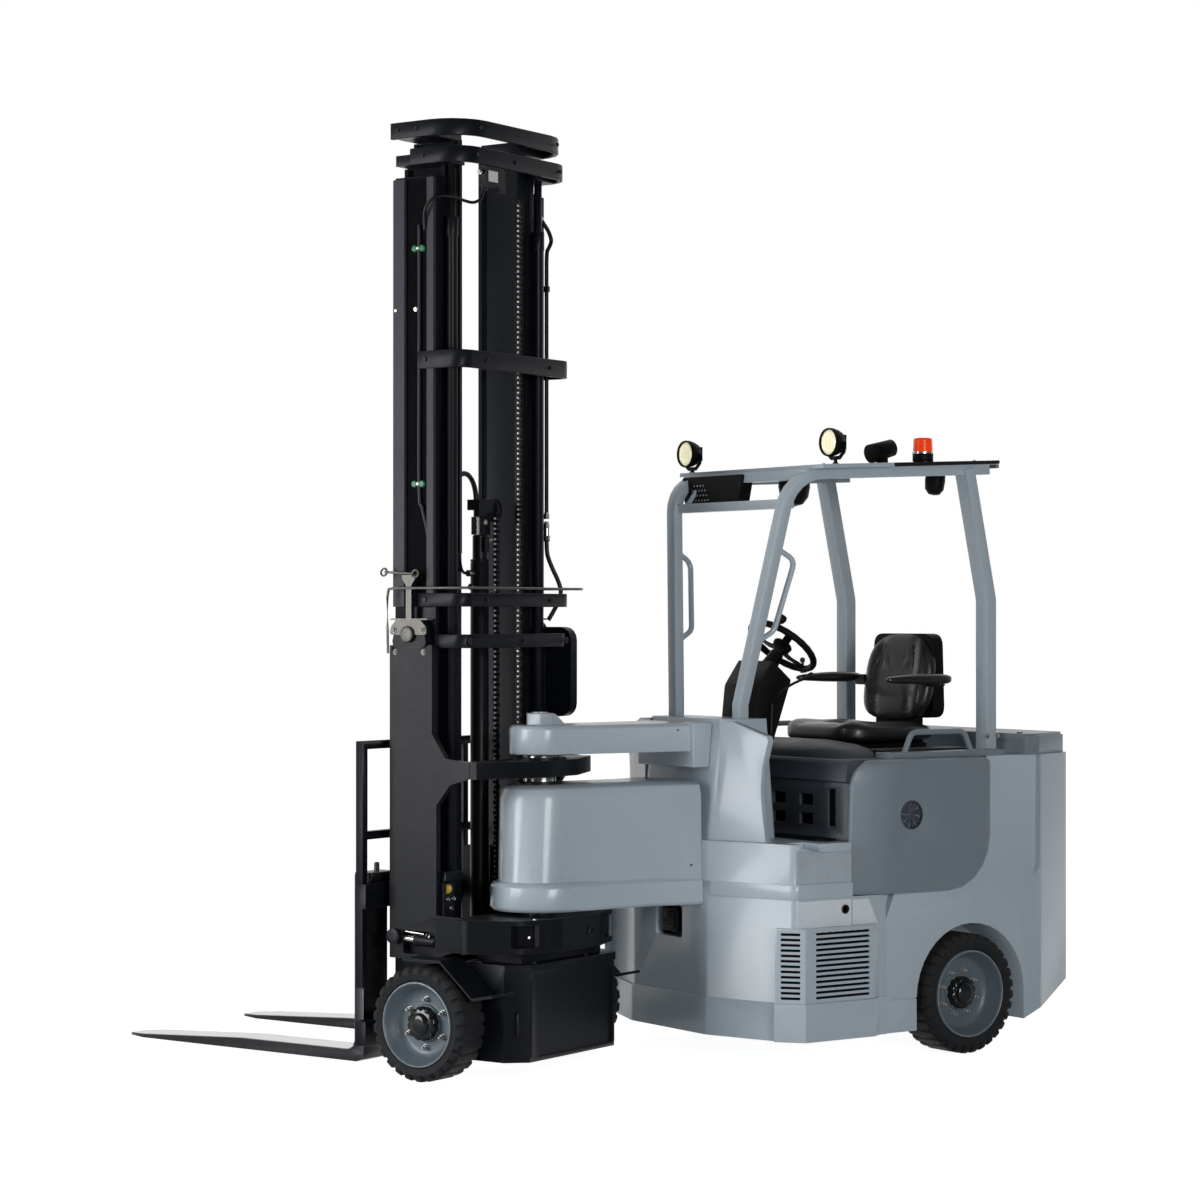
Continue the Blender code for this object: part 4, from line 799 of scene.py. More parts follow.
class Workshop:
    """Turns shapes into dressed pieces of the truck."""

    def __init__(self, site: Site, shop: FinishShop) -> None:
        """Keeps what every piece needs."""
        self.site = site
        self.shop = shop
        self.count = 0

    def point(self, unit: Unit, spot: Place) -> Vector:
        """Gives a unit's own point in the world."""
        return self.site.place(unit) @ Vector(spot)

    def piece(
        self, name: str, shape: Shape, finish: Palette, body: str = "", slot: str = "", bevel: float = 0.0,
        stands_for: Sequence[str] = (), angle: float = BEVEL_BEND,
    ) -> Thing:
        """Finishes a shape.

        Args:
            name: the piece's name.
            shape: its mesh.
            finish: its surface.
            body: the CAD body it rides on, or "" for its unit's own.
            slot: the record's material slot, or "" for its finish's own; not used.
            bevel: the width of its rounded edges, or 0.
            stands_for: the CAD nodes that it replaces.
            angle: the sharpest edge that still looks smooth, in degrees.

        Returns:
            The piece.
        """
        body, slot = body or shape.unit.body, slot or finish.value.slot
        work = shape.work
        bmesh.ops.remove_doubles(work, verts=work.verts, dist=SAME_POINT)
        bmesh.ops.recalc_face_normals(work, faces=work.faces)
        bmesh.ops.transform(work, matrix=self.site.place(shape.unit), verts=work.verts)
        mesh = bpy.data.meshes.new(name)
        work.to_mesh(mesh)
        work.free()
        mesh.shade_smooth()
        mesh.set_sharp_from_angle(angle=radians(angle))
        obj = stand(name, mesh)
        self.dress(obj, finish, bevel)
        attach(obj, body)
        if stands_for:
            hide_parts(*stands_for)
        self.count += 1
        LOG.info("made %s on %s", name, body)
        return obj

    def dress(self, obj: Thing, finish: Palette, bevel: float) -> None:
        """Gives an object its material and rounded edges.

        Args:
            obj: the object.
            finish: its surface.
            bevel: the width of its rounded edges, or 0.
        """
        obj.data.materials.clear()
        obj.data.materials.append(self.shop.get(finish))
        if bevel:
            step = obj.modifiers.new("edges", "BEVEL")
            step.width = bevel
            step.segments = 2
            step.limit_method = "ANGLE"
            step.angle_limit = radians(BEVEL_BEND)
            step.harden_normals = True
            step.use_clamp_overlap = True

    def carry_over(self, name: str, finish: Palette, bevel: float) -> None:
        """Keeps a CAD node and gives it its surface.

        Args:
            name: the node.
            finish: its surface.
            bevel: the width of its rounded edges, or 0.
        """
        # An edge without a bevel is split after the weld, or its light would run round the corner.
        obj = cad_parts[name]
        obj.data.shade_smooth()
        obj.data.set_sharp_from_angle(angle=radians(SPLIT_BEND))
        weld = obj.modifiers.new("weld", "WELD")
        weld.merge_threshold = CAD_SAME_POINT
        plain = obj.modifiers.new("plain", "DECIMATE")
        plain.decimate_type = "DISSOLVE"
        plain.angle_limit = radians(FLAT_BEND)
        plain.delimit = {"SHARP"}
        if not bevel:
            split = obj.modifiers.new("split", "EDGE_SPLIT")
            split.split_angle = radians(SPLIT_BEND)
        self.dress(obj, finish, bevel)


@dataclass
class SubAssembly:
    """A part of the truck that is built and dressed in one place."""

    workshop: Workshop

    @property
    def kingpin(self) -> Vector:
        """The kingpin's foot in the world."""
        return self.workshop.site.kingpin

    def add(self, name: str, shape: Shape, finish: Palette, body: str = "", **more: object) -> Thing:
        """Finishes a shape as a piece of the workshop, which says what more may hold."""
        return self.workshop.piece(name, shape, finish, body, **more)

    def keep(self, finish: Palette, bevel: float, *names: str) -> None:
        """Keeps CAD nodes and gives them their surface."""
        for name in names:
            self.workshop.carry_over(name, finish, bevel)


@dataclass
class Studio:
    """The camera, the lamps, the floor and the white round it all."""

    workshop: Workshop
    eye: Point = (6.0621, 9.2183, 1.67)
    look: Point = (-0.566, -0.824, 0.005)
    lens: float = 90.0
    sky: float = 0.1
    floor_size: float = 120.0

    def build(self) -> None:
        """Sets up everything that isn't the truck."""
        self._camera()
        self._lamp("front_softbox", (6.4, -0.9, 2.0), (-0.2, 0.1, 1.2), 3.2, 245)
        self._lamp("side_softbox", (0.9, 7.6, 2.2), (-0.8, 0.4, 1.1), 2.4, 185)
        self._world()
        self._floor()
        view = bpy.context.scene.view_settings
        view.view_transform = "Standard"

    def _camera(self) -> None:
        """Places the camera of the photograph."""
        data = bpy.data.cameras.new("camera")
        data.lens = self.lens
        data.sensor_width = 36.0
        camera = stand("camera", data)
        camera.location = self.workshop.point(Unit.REAR, self.eye)
        camera.rotation_euler = Vector(self.look).to_track_quat("-Z", "Y").to_euler()
        bpy.context.scene.camera = camera

    def _lamp(self, name: str, spot: Place, aim: Place, size: float, power: float) -> None:
        """Adds one soft square lamp.

        Args:
            name: its name.
            spot: where it hangs, in the rear unit's frame.
            aim: what it points at.
            size: its side.
            power: its watts.
        """
        data = bpy.data.lights.new(name, "AREA")
        data.shape = "SQUARE"
        data.size = size
        data.energy = power
        lamp = stand(name, data)
        lamp.location = self.workshop.point(Unit.REAR, spot)
        lamp.rotation_euler = (Vector(aim) - Vector(spot)).to_track_quat("-Z", "Y").to_euler()

    def _seen(self, nodes: Nodes, way: Socket, sign: float) -> Socket:
        """Gives a mask that is 1 where the white shows.

        It shows to the camera, through glass, and in gloss that faces the backdrop.

        Args:
            nodes: the tree it goes into.
            way: the direction of the ray.
            sign: -1 where way runs against the ray.

        Returns:
            The mask's socket.
        """
        path = nodes.add("ShaderNodeLightPath").outputs
        ahead = Vector(self.look).normalized() * sign
        dot = nodes.add("ShaderNodeVectorMath", {0: way, 1: ahead}, operation="DOT_PRODUCT")
        behind = nodes.math("MULTIPLY", dot.outputs["Value"], 1.6, clamp=True)
        gloss = nodes.math("MULTIPLY", path["Is Glossy Ray"], behind)
        straight = nodes.math("ADD", path["Is Camera Ray"], path["Is Transmission Ray"])
        return nodes.math("ADD", straight, gloss, clamp=True)

    def _world(self) -> None:
        """Soft grey light all round, seen as white."""
        world = bpy.data.worlds.new("white")
        bpy.context.scene.world = world
        world.use_nodes = True
        nodes = Nodes(world.node_tree)
        way = nodes.add("ShaderNodeTexCoord").outputs["Generated"]
        sky = nodes.fill("Background", {"Color": (0.93, 0.97, 1.0, 1), "Strength": self.sky})
        white = nodes.add("ShaderNodeBackground", {"Color": WHITE, "Strength": 1.0})
        seen = self._seen(nodes, way, 1.0)
        pick = nodes.add("ShaderNodeMixShader", {0: seen, 1: sky.outputs[0], 2: white.outputs[0]})
        nodes.fill("World Output", {"Surface": pick.outputs[0]})

    def _floor(self) -> None:
        """A pale floor that keeps the truck's shadow."""
        half = self.floor_size / 2
        work = bmesh.new()
        corners = ((-half, -half), (half, -half), (half, half), (-half, half))
        work.faces.new([work.verts.new((x, y, 0)) for x, y in corners])
        mesh = bpy.data.meshes.new("floor")
        work.to_mesh(mesh)
        work.free()
        floor = stand("floor", mesh)
        paint = bpy.data.materials.new("floor")
        paint.use_nodes = True
        nodes = Nodes(paint.node_tree)
        way = nodes.add("ShaderNodeNewGeometry").outputs["Incoming"]
        shine = nodes.math("MULTIPLY", self._seen(nodes, way, -1.0), 0.93)
        look = {
            "Base Color": (0.8, 0.81, 0.82, 1), "Roughness": 0.9, "Emission Color": WHITE,
            "Emission Strength": shine,
        }
        nodes.fill("Principled BSDF", look)
        mesh.materials.append(paint)


@dataclass
class WheelSet(SubAssembly):
    """One solid-tyred wheel, seen from outside: y runs out from its middle."""

    name: str
    unit: Unit
    side: int
    axle_x: float
    radius: float
    width: float
    depth: float
    outer: float
    blocks: int = 30
    studs: int = 6

    def build(self) -> None:
        """Makes the tyre, the rim and what is bolted to it."""
        self.centre = (self.axle_x, self.side * (self.outer - self.width / 2), self.radius)
        self.axis = (0, self.side, 0)
        self._tyre()
        self._rim()
        self._hub()

    def _tyre(self) -> None:
        """A tyre with notched shoulders and a ribbed sidewall."""
        w, r, rim = self.width / 2, self.radius, self.radius - self.depth
        sides = self.blocks * 6
        base = [
            (-w + 0.004, rim), (-w, rim + 0.01), (-w, r - 0.026), (-w + 0.006, r - 0.008), (-w + 0.018, r),
            (0.0, r), (w - 0.018, r), (w - 0.006, r - 0.008), (w, r - 0.026), (w, rim + 0.026),
            (w + 0.0015 - 0.003, rim + 0.022), (w - 0.0015, rim + 0.012), (w - 0.004, rim + 0.004),
            (w - 0.012, rim),
        ]
        cut = {
            3: (0.01, 0.004), 4: (0.004, 0.007), 6: (-0.004, 0.007), 7: (-0.01, 0.004),
            8: (-0.006, -0.004), 2: (0.006, -0.004)
        }
        turn = Vector(self.axis).to_track_quat("Z", "Y")
        rings = []
        for k in range(sides):
            angle = 2 * pi * k / sides
            notch = 1.0 if k % 6 in (0, 1) else 0.0
            ring = []
            for i, (along, radius) in enumerate(base):
                shift, drop = cut.get(i, (0.0, 0.0))
                size = radius - drop * notch
                spot = Vector((size * cos(angle), size * sin(angle), along + shift * notch))
                ring.append(Vector(self.centre) + turn @ spot)
            rings.append(ring)
        shape = Shape(self.unit).rings(rings, looped=True)
        self.add(
            f"solid_tyre_{self.name}", shape, Palette.TYRE, f"wheel_{self.name}",
            stands_for=(f"tyre_{self.name}",), angle=24
        )

    def _rim(self) -> None:
        """A dished rim with a rolled lip and a flat for the studs."""
        w, rim = self.width / 2, self.radius - self.depth - 0.0003
        lip = [
            (w - 0.004, rim), (w - 0.0005, rim - 0.002), (w, rim - 0.005), (w - 0.002, rim - 0.008),
            (w - 0.008, rim - 0.011)
        ]
        dish = [
            (0.028, rim - 0.026), (0.02, rim - 0.034), (0.014, rim - 0.044), (0.012, 0.1),
            (0.013, 0.07), (0.022, 0.064)
        ]
        back = [
            (0.022, 0.047), (-0.02, 0.047), (-0.02, rim - 0.045), (-w + 0.008, rim - 0.014),
            (-w + 0.004, rim)
        ]
        shape = Shape(self.unit).lathe([*lip, *dish, *back], self.centre, self.axis, 72, closed=True)
        self.add(
            f"dished_rim_{self.name}", shape, Palette.RIM, f"wheel_{self.name}",
            stands_for=(f"rim_{self.name}",), angle=40
        )

    def _hub(self) -> None:
        """The notched hub cap and the wheel studs."""
        middle = Vector(self.centre)
        out = Vector(self.axis)
        notches = 12
        outline = []
        for k in range(notches):
            for part, size in ((0.0, 0.056), (0.18, 0.062), (0.62, 0.062), (0.8, 0.056)):
                turn = 2 * pi * (k + part) / notches
                outline.append((size * cos(turn), size * sin(turn)))
        levels = ((0.014, 1.0), (0.044, 1.0), (0.05, 0.94), (0.053, 0.84))
        spin = out.to_track_quat("Z", "Y")
        shape = Shape(self.unit)
        shape.rings([[middle + spin @ Vector((x * s, y * s, h)) for x, y in outline] for h, s in levels])
        shape.lathe(
            [(0.048, 0.041), (0.06, 0.04), (0.066, 0.034), (0.068, 0.024), (0.0685, 0.0)], middle, out, 40
        )
        self.add(f"hub_cap_{self.name}", shape, Palette.GLOSS, f"wheel_{self.name}", bevel=0.001)
        studs = Shape(self.unit)
        spot = middle + out * 0.0118 + spin @ Vector((0.086 * cos(0.5), 0.086 * sin(0.5), 0))
        studs.lathe(
            [(0, 0.0125), (0.004, 0.0125), (0.0045, 0.01), (0.016, 0.0098), (0.017, 0.008)], spot, out, 6
        )
        studs.lathe([(0.01, 0.0055), (0.026, 0.0055), (0.027, 0.004)], spot, out, 12)
        studs.copy_turned(self.studs, middle, out)
        self.add(f"wheel_studs_{self.name}", studs, Palette.GREY_STEEL, f"wheel_{self.name}")


@dataclass
class RearBody(SubAssembly):
    """The painted hull, covers and castings of the rear unit, with their small fittings."""

    half: float = 0.6
    slots: int = 13

    def build(self) -> None:
        """Dresses the CAD pieces and adds the fittings."""
        self.keep(Palette.BODY, 0.006, "front_hull", "nose")
        self.keep(Palette.BODY, 0.005, "cab_base")
        self.keep(Palette.BODY, 0.014, "cowl")
        self.keep(Palette.BODY, 0.01, "rear_hull")
        self.keep(Palette.BODY, 0.008, "upper_arm")
        self.keep(Palette.BODY, 0.0012, "grille_left", "grille_right")
        self.keep(Palette.COVER, 0.015, "side_cover_left", "side_cover_right")
        self.keep(Palette.COVER, 0.006, "rear_lid")
        self.keep(Palette.COVER, 0.002, "ledge_left", "ledge_right")
        self.keep(Palette.SLATE, 0.003, "pedestal")
        self.keep(Palette.BRIGHT, 0.002, "kingpin")
        self.keep(Palette.DARK, 0.001, "rear_axle")
        for side, name in SIDES:
            self._steps(side, name)
            self._fan(side, name)
            self._grille_back(side, name)
        self._vents()
        self._socket()
        self._nose_fittings()
        self._rear_fittings()

    def _steps(self, side: int, name: str) -> None:
        """The bright step insert above the seam and the plain service plate below it.

        Args:
            side: 1 on the left, -1 on the right.
            name: the side's name.
        """
        y = side * self.half
        outer = sorted((y - side * 0.001, y + side * 0.0035))
        upper = [(-0.727, 0.686), (-0.983, 0.686), (-0.983, 0.792), (-0.86, 0.797), (-0.727, 0.808)]
        lower = [(-0.727, 0.513), (-0.983, 0.513), (-0.983, 0.622), (-0.727, 0.622)]
        shape = Shape(Unit.REAR).prism(soft_outline(upper, 0.006), *outer, "y")
        shape.box((-0.983, -0.75), span(side, 0.502, 0.6), (0.7955, 0.8005))
        self.add(f"step_plates_{name}", shape, Palette.STEP, bevel=0.001)
        panel = Shape(Unit.REAR).prism(soft_outline(lower, 0.006), *outer, "y")
        self.add(f"service_plate_{name}", panel, Palette.PALE, bevel=0.001)
        face = Shape(Unit.REAR)
        edge = [(-0.99, 0.513), (-1.112, 0.513), (-1.112, 0.523), (-1.066, 0.618), (-0.99, 0.618)]
        face.prism(edge, *sorted((y - side * 0.001, y + side * 0.002)), "y")
        self.add(f"gap_plate_{name}", face, Palette.PALE, bevel=0.0006)
        ring = Shape(Unit.REAR)
        spot = (-0.952, y + side * 0.003, 0.585)
        ring.lathe(
            [(0, 0.017), (0.005, 0.017), (0.006, 0.014), (0.003, 0.011), (0.0005, 0.01), (0.0005, 0.0)],
            spot, (0, side, 0), 28
        )
        self.add(f"key_ring_{name}", ring, Palette.DARK)

    def _fan(self, side: int, name: str) -> None:
        """The blades and the guard ring in a side cover's round vent.

        Args:
            side: 1 on the left, -1 on the right.
            name: the side's name.
        """
        low, high = (Vector(v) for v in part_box(f"side_cover_{name}"))
        face = (high.y if side > 0 else low.y) - self.kingpin.y
        x, z = -1.257, 0.922
        shape = Shape(Unit.REAR)
        ring = [(-0.01, 0.053), (-0.001, 0.054), (-0.001, 0.05), (-0.01, 0.0495)]
        shape.lathe(ring, (x, face, z), (0, side, 0), 36, closed=True)
        for k in range(8):
            turn = pi * k / 4 + 0.3
            rings = []
            for reach, pitch, wide in ((0.013, 0.9, 0.007), (0.032, 0.65, 0.012), (0.0502, 0.5, 0.017)):
                bend = turn + reach * 6
                middle = Vector((x + reach * cos(bend), face - side * 0.0075, z + reach * sin(bend)))
                across = Vector((-sin(bend), 0, cos(bend))) * wide * cos(pitch)
                lean = Vector((0, side, 0)) * 0.0035 * sin(pitch)
                thick = Vector((0, side * 0.0008, 0))
                rings.append(
                    [
                        middle - across - lean - thick, middle + across + lean - thick,
                        middle + across + lean + thick, middle - across - lean + thick
                    ]
                )
            shape.rings(rings)
        shape.lathe(
            [(-0.012, 0.015), (-0.004, 0.015), (-0.002, 0.011), (-0.0015, 0.0)],
            (x, face, z), (0, side, 0), 24
        )
        self.add(f"fan_{name}", shape, Palette.SLATE)

    def _grille_back(self, side: int, name: str) -> None:
        """The small hooks along a grille's top edge, and near-black strips in its slots, which are painted
        shade.

        Args:
            side: 1 on the left, -1 on the right.
            name: the side's name.
        """
        shape = Shape(Unit.REAR)
        for k in range(9):
            x = -0.8 - 0.034 * k
            hook = [(x, 0.508), (x - 0.014, 0.508), (x - 0.012, 0.5155), (x - 0.002, 0.5155)]
            shape.prism(hook, *span(side, self.half + 0.02, self.half + 0.033), "y")
        self.add(f"grille_hooks_{name}", shape, Palette.BODY, bevel=0.0008)
        # Painted shade: near-black strips set in the slots, where the slots fall in shade.
        shade_panel = Shape(Unit.REAR)
        low, high = (Vector(v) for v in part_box(f"grille_{name}"))
        pitch = (high.z - low.z - 0.022) / self.slots
        edge, fold = Vector((-0.6681, 0.5475, 0)), Vector((-0.742, self.half + 0.034, 0))
        along = (fold - edge).normalized()
        out = Vector((along.y, -along.x, 0))
        for k in range(self.slots):
            bottom = low.z + 0.011 + pitch * (k + 0.25) + 0.0006
            top = bottom + pitch * 0.5 - 0.0012
            y = side * (self.half + 0.024)
            shade_panel.box((-1.0445, -0.7925), sorted((y + side * 0.0002, y + side * 0.003)), (bottom, top))
            corners = [
                edge + along * reach - out * depth
                for reach, depth in ((0.0225, 0.0034), (0.0935, 0.0034), (0.0935, 0.002), (0.0225, 0.002))
            ]
            shade_panel.prism([(p.x, side * p.y) for p in corners], bottom, top)
        self.add(f"grille_slot_painted_shade_{name}", shade_panel, Palette.SHADE)

    def _vents(self) -> None:
        """Painted shade: near-black blocks behind the vents and the slot of the box under the seat."""
        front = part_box("pedestal")[1][0] - self.kingpin.x - 0.018
        # Painted shade: these blocks stand for the shade inside the vents and the slot.
        shape = Shape(Unit.REAR)
        for y in (0.108, 0.274):
            for z in (0.881, 0.953):
                shape.box(
                    (front - 0.0395, front - 0.012), (y + 0.0008, y + 0.0762), (z + 0.0008, z + 0.0412)
                )
        shape.box((front - 0.0295, front - 0.008), (0.4458, 0.4852), (0.8808, 1.0192))
        self.add("pedestal_vent_painted_shade", shape, Palette.SHADE)

    def _socket(self) -> None:
        """The power socket in the hull's nose, with its latch and shadowed well."""
        x = -0.59
        shape = Shape(Unit.REAR)
        shape.prism(
            soft_outline([(-0.088, 0.457), (0.078, 0.457), (0.078, 0.583), (-0.088, 0.583)], 0.012),
            x - 0.034, x - 0.03, "x"
        )
        self.add("socket_well", shape, Palette.PLASTIC)
        plug = Shape(Unit.REAR)
        plug.prism(
            soft_outline([(-0.055, 0.475), (0.045, 0.475), (0.045, 0.56), (-0.055, 0.56)], 0.014),
            x - 0.031, x - 0.006, "x"
        )
        plug.prism(
            soft_outline([(-0.03, 0.49), (0.02, 0.49), (0.02, 0.545), (-0.03, 0.545)], 0.008),
            x - 0.012, x - 0.001, "x"
        )
        plug.rod((x - 0.01, -0.042, 0.51), (x + 0.001, -0.042, 0.51), 0.006, 14)
        self.add("power_socket", plug, Palette.GLOSS, bevel=0.002)

    def _nose_fittings(self) -> None:
        """The kingpin's cap plate and collar, and the nose's small screws."""
        shape = Shape(Unit.REAR)
        shape.lathe([(0, 0.028), (0.004, 0.028), (0.005, 0.026), (0.005, 0.0)], (0, 0, 1.3095), UP, 32)
        self.add("kingpin_cap", shape, Palette.BODY)
        screws = Shape(Unit.REAR)
        for side in (-1, 1):
            screws.bolt((-0.52, side * 0.149, 1.24), (-0.06, side, 0), 0.004, False)
            screws.bolt((-0.545, side * 0.2, 0.74), (0.2, side, 0), 0.004, False)
        self.add("nose_screws", screws, Palette.DARK)
        collar = Shape(Unit.REAR)
        collar.lathe(
            [(0, 0.086), (0.01, 0.086), (0.012, 0.08), (0.012, 0.0625), (0, 0.0625)],
            (0, 0, 1.0485), UP, 48, closed=True
        )
        self.add("kingpin_collar", collar, Palette.DARK, bevel=0.001)

    def _rear_fittings(self) -> None:
        """The lid's hinge and latch, and the guard feet's bolts."""
        shape = Shape(Unit.REAR)
        for side in (-1, 1):
            for x in (-1.775, -1.825):
                shape.bolt((x, side * 0.4705, 1.2), (0, side, 0), 0.007)
            shape.rod((-1.885, side * 0.52, 1.2125), (-1.905, side * 0.52, 1.2125), 0.005, 12)
        self.add("lid_fittings", shape, Palette.BRIGHT)


@dataclass
class Cab(SubAssembly):
    """The overhead guard with its lamps, and the driver's place."""

    rail: float = 2.2
    rise: float = 0.045
    front: float = -0.97
    deck: float = 1.13
    helm: Point = (-1.13, 0.0, 1.55)
    lean: Point = (-0.643, 0.0, 0.766)
    helm_radius: float = 0.14

    def _rail_at(self, x: float) -> float:
        """Gives the height of a roof rail's middle."""
        return self.rail + self.rise * (self.front - x)

    def _roof_at(self, x: float) -> float:
        """Gives the height of the roof plate's top."""
        return self._rail_at(x) + 0.0343

    def build(self) -> None:
        """Dresses the guard and makes the driver's place."""
        self.keep(Palette.BODY, 0.006, "overhead_guard")
        self.keep(Palette.SHEET, 0.0015, "roof_plate")
        self._roof_trim()
        self.keep(Palette.PLASTIC, 0.003, "alarm")
        self.keep(Palette.PLASTIC, 0.002, "beacon_base")
        self._lamps()
        self._beacon()
        self._under_roof()
        self._wheel()
        self._console()
        self._seat()
        self._deck()

    def _roof_trim(self) -> None:
        """The guard's painted edge round the front of the roof plate."""
        low, high = (Vector(v) - self.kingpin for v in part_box("roof_plate"))
        rise, thick, end = self.rise, 0.0155, high.x - 0.345
        bottom = high.z - thick - rise * (high.x - low.x)
        edge = [
            (high.x, bottom), (high.x, bottom + thick), (end, bottom + thick + rise * (high.x - end)),
            (end, bottom + rise * (high.x - end))
        ]
        trim = Shape(Unit.REAR)
        for y in (low.y, high.y):
            trim.prism(edge, y - 0.0012, y + 0.0012, "y")
        trim.box((high.x - 0.001, high.x + 0.0015), (low.y, high.y), (bottom, bottom + thick))
        self.add("roof_trim", trim, Palette.BODY)

    def _lamps(self) -> None:
        """The two round work lamps on the roof's front edge."""
        for name in ("work_lamp_left", "work_lamp_right"):
            low, high = (Vector(v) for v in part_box(name))
            middle = (low + high) / 2 - self.kingpin
            x, y, z = middle.x, middle.y, high.z - 0.054
            shape = Shape(Unit.REAR)
            shell = [
                (-0.034, 0.01), (-0.033, 0.025), (-0.02, 0.041), (-0.002, 0.049), (0.016, 0.0535),
                (0.03, 0.054),
                (0.0345, 0.0528), (0.0345, 0.0485), (0.026, 0.0475), (0.02, 0.046), (0.006, 0.044),
                (-0.012, 0.037),
                (-0.028, 0.016), (-0.03, 0.008),
            ]
            shape.lathe(shell, (x, y, z), AHEAD, 48, closed=True)
            for k in range(7):
                fin = y + 0.037 * sin(pi * (k - 3) / 9)
                shape.box((x - 0.03, x - 0.012), (fin - 0.0013, fin + 0.0013), (z - 0.028, z + 0.028))
            back, foot, seat = x - 0.004, z - 0.0585, self._roof_at(x)
            yoke = [
                (back, y - 0.0515, z), (back, y - 0.0515, z - 0.036), (back, y - 0.024, foot),
                (back, y + 0.024, foot), (back, y + 0.0515, z - 0.036), (back, y + 0.0515, z),
            ]
            shape.sweep(
                yoke, [(-0.0075, -0.0015), (0.0075, -0.0015), (0.0075, 0.0015), (-0.0075, 0.0015)], AHEAD
            )
            shape.rod((back, y, seat), (back, y, foot + 0.001), 0.007, 16)
            shape.bolt((back, y, seat), UP, 0.01)
            self.add(f"{name}_housing", shape, Palette.PLASTIC)
            lens = Shape(Unit.REAR)
            lens.lathe(
                [(0.02, 0.046), (0.027, 0.0465), (0.0315, 0.039), (0.0335, 0.025), (0.034, 0.0)],
                (x, y, z), AHEAD, 48
            )
            for k in range(-3, 4):
                flute = y + k * 0.0105
                wide = 0.92 * math.sqrt(0.04**2 - (k * 0.0105) ** 2)
                lens.box((x + 0.026, x + 0.0345), (flute - 0.001, flute + 0.001), (z - wide, z + wide))
            self.add(f"{name}_lens", lens, Palette.LENS, bevel=0.0005, stands_for=(name,))

    def _beacon(self) -> None:
        """The ribbed orange beacon with its bright ring."""
        low, high = (Vector(v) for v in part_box("beacon"))
        spot = (low + high) / 2 - self.kingpin
        base = low.z
        height = high.z - low.z
        shape = Shape(Unit.REAR)
        profile = [(0.0, 0.0382)]
        for k in range(6):
            z = 0.005 + k * (height - 0.014) / 6
            profile += [
                (z, 0.0382 - 0.0003 * k), (z + 0.003, 0.037 - 0.0003 * k),
                (z + 0.0055, 0.0382 - 0.0003 * k)
            ]
        profile += [(height - 0.005, 0.0355), (height - 0.001, 0.03), (height - 0.0002, 0.0)]
        shape.lathe(profile, (spot.x, spot.y, base), UP, 40)
        self.add("beacon_lens", shape, Palette.BEACON, stands_for=("beacon",), angle=50)
        ring = Shape(Unit.REAR)
        ring.lathe(
            [(-0.004, 0.0402), (0.003, 0.0402), (0.004, 0.0388), (0.004, 0.0372), (-0.004, 0.0372)],
            (spot.x, spot.y, base), UP, 40, closed=True
        )
        self.add("beacon_ring", ring, Palette.BRIGHT)

    def _under_roof(self) -> None:
        """What hangs under the roof: camera dome, inner and rear lamp, radio box and the guard's bolts."""
        shape = Shape(Unit.REAR)
        radio = [
            (-0.345, 2.08), (-0.035, 2.08), (-0.02, 2.1), (0.01, 2.213), (-0.39, 2.213),
            (-0.372, 2.11)
        ]
        shape.prism(soft_outline(radio, 0.016), -0.985, -0.93, "x")
        dome = [(0.0, 0.058), (0.06, 0.062), (0.1, 0.055), (0.128, 0.034), (0.137, 0.0)]
        shape.lathe(dome, (-1.15, 0.05, self._rail_at(-1.15) + 0.0195), (0, 0, -1), 32)
        shape.box(
            (-1.64, -1.47), (-0.04, 0.08), (self._rail_at(-1.47) + 0.002, self._rail_at(-1.47) + 0.02)
        )
        small = [(0.0, 0.037), (0.05, 0.04), (0.086, 0.037), (0.106, 0.022), (0.11, 0.0)]
        shape.lathe(small, (-1.71, 0.24, self._rail_at(-1.71) + 0.016), (0.12, 0, -1), 28)
        self.add("roof_fittings", shape, Palette.PLASTIC, bevel=0.003)
        holes = Shape(Unit.REAR)
        for row in range(4):
            for k in range(7 - row):
                spot = (-0.9302, -0.335 + 0.02 * k + 0.01 * row, 2.12 + 0.019 * row)
                holes.lathe([(0, 0.0042), (0.0012, 0.0036), (0.0012, 0.0)], spot, AHEAD, 10)
        self.add("radio_box_studs", holes, Palette.GREY_STEEL, slot="black_plastic")
        bolts = Shape(Unit.REAR)
        for side in (-1, 1):
            for x in (-1.0, -1.25, -1.5, -1.75):
                bolts.bolt((x, side * 0.42, self._roof_at(x) - 0.0004), (self.rise, 0, 1), 0.006)
        self.add("roof_bolts", bolts, Palette.GREY_STEEL)
        channel = Shape(Unit.REAR)
        edge = self._rail_at(-1.835)
        channel.box((-1.8495, -1.835), (-0.452, 0.452), (edge + 0.004, edge + 0.0196))
        self.add("roof_channel", channel, Palette.COVER, bevel=0.002)

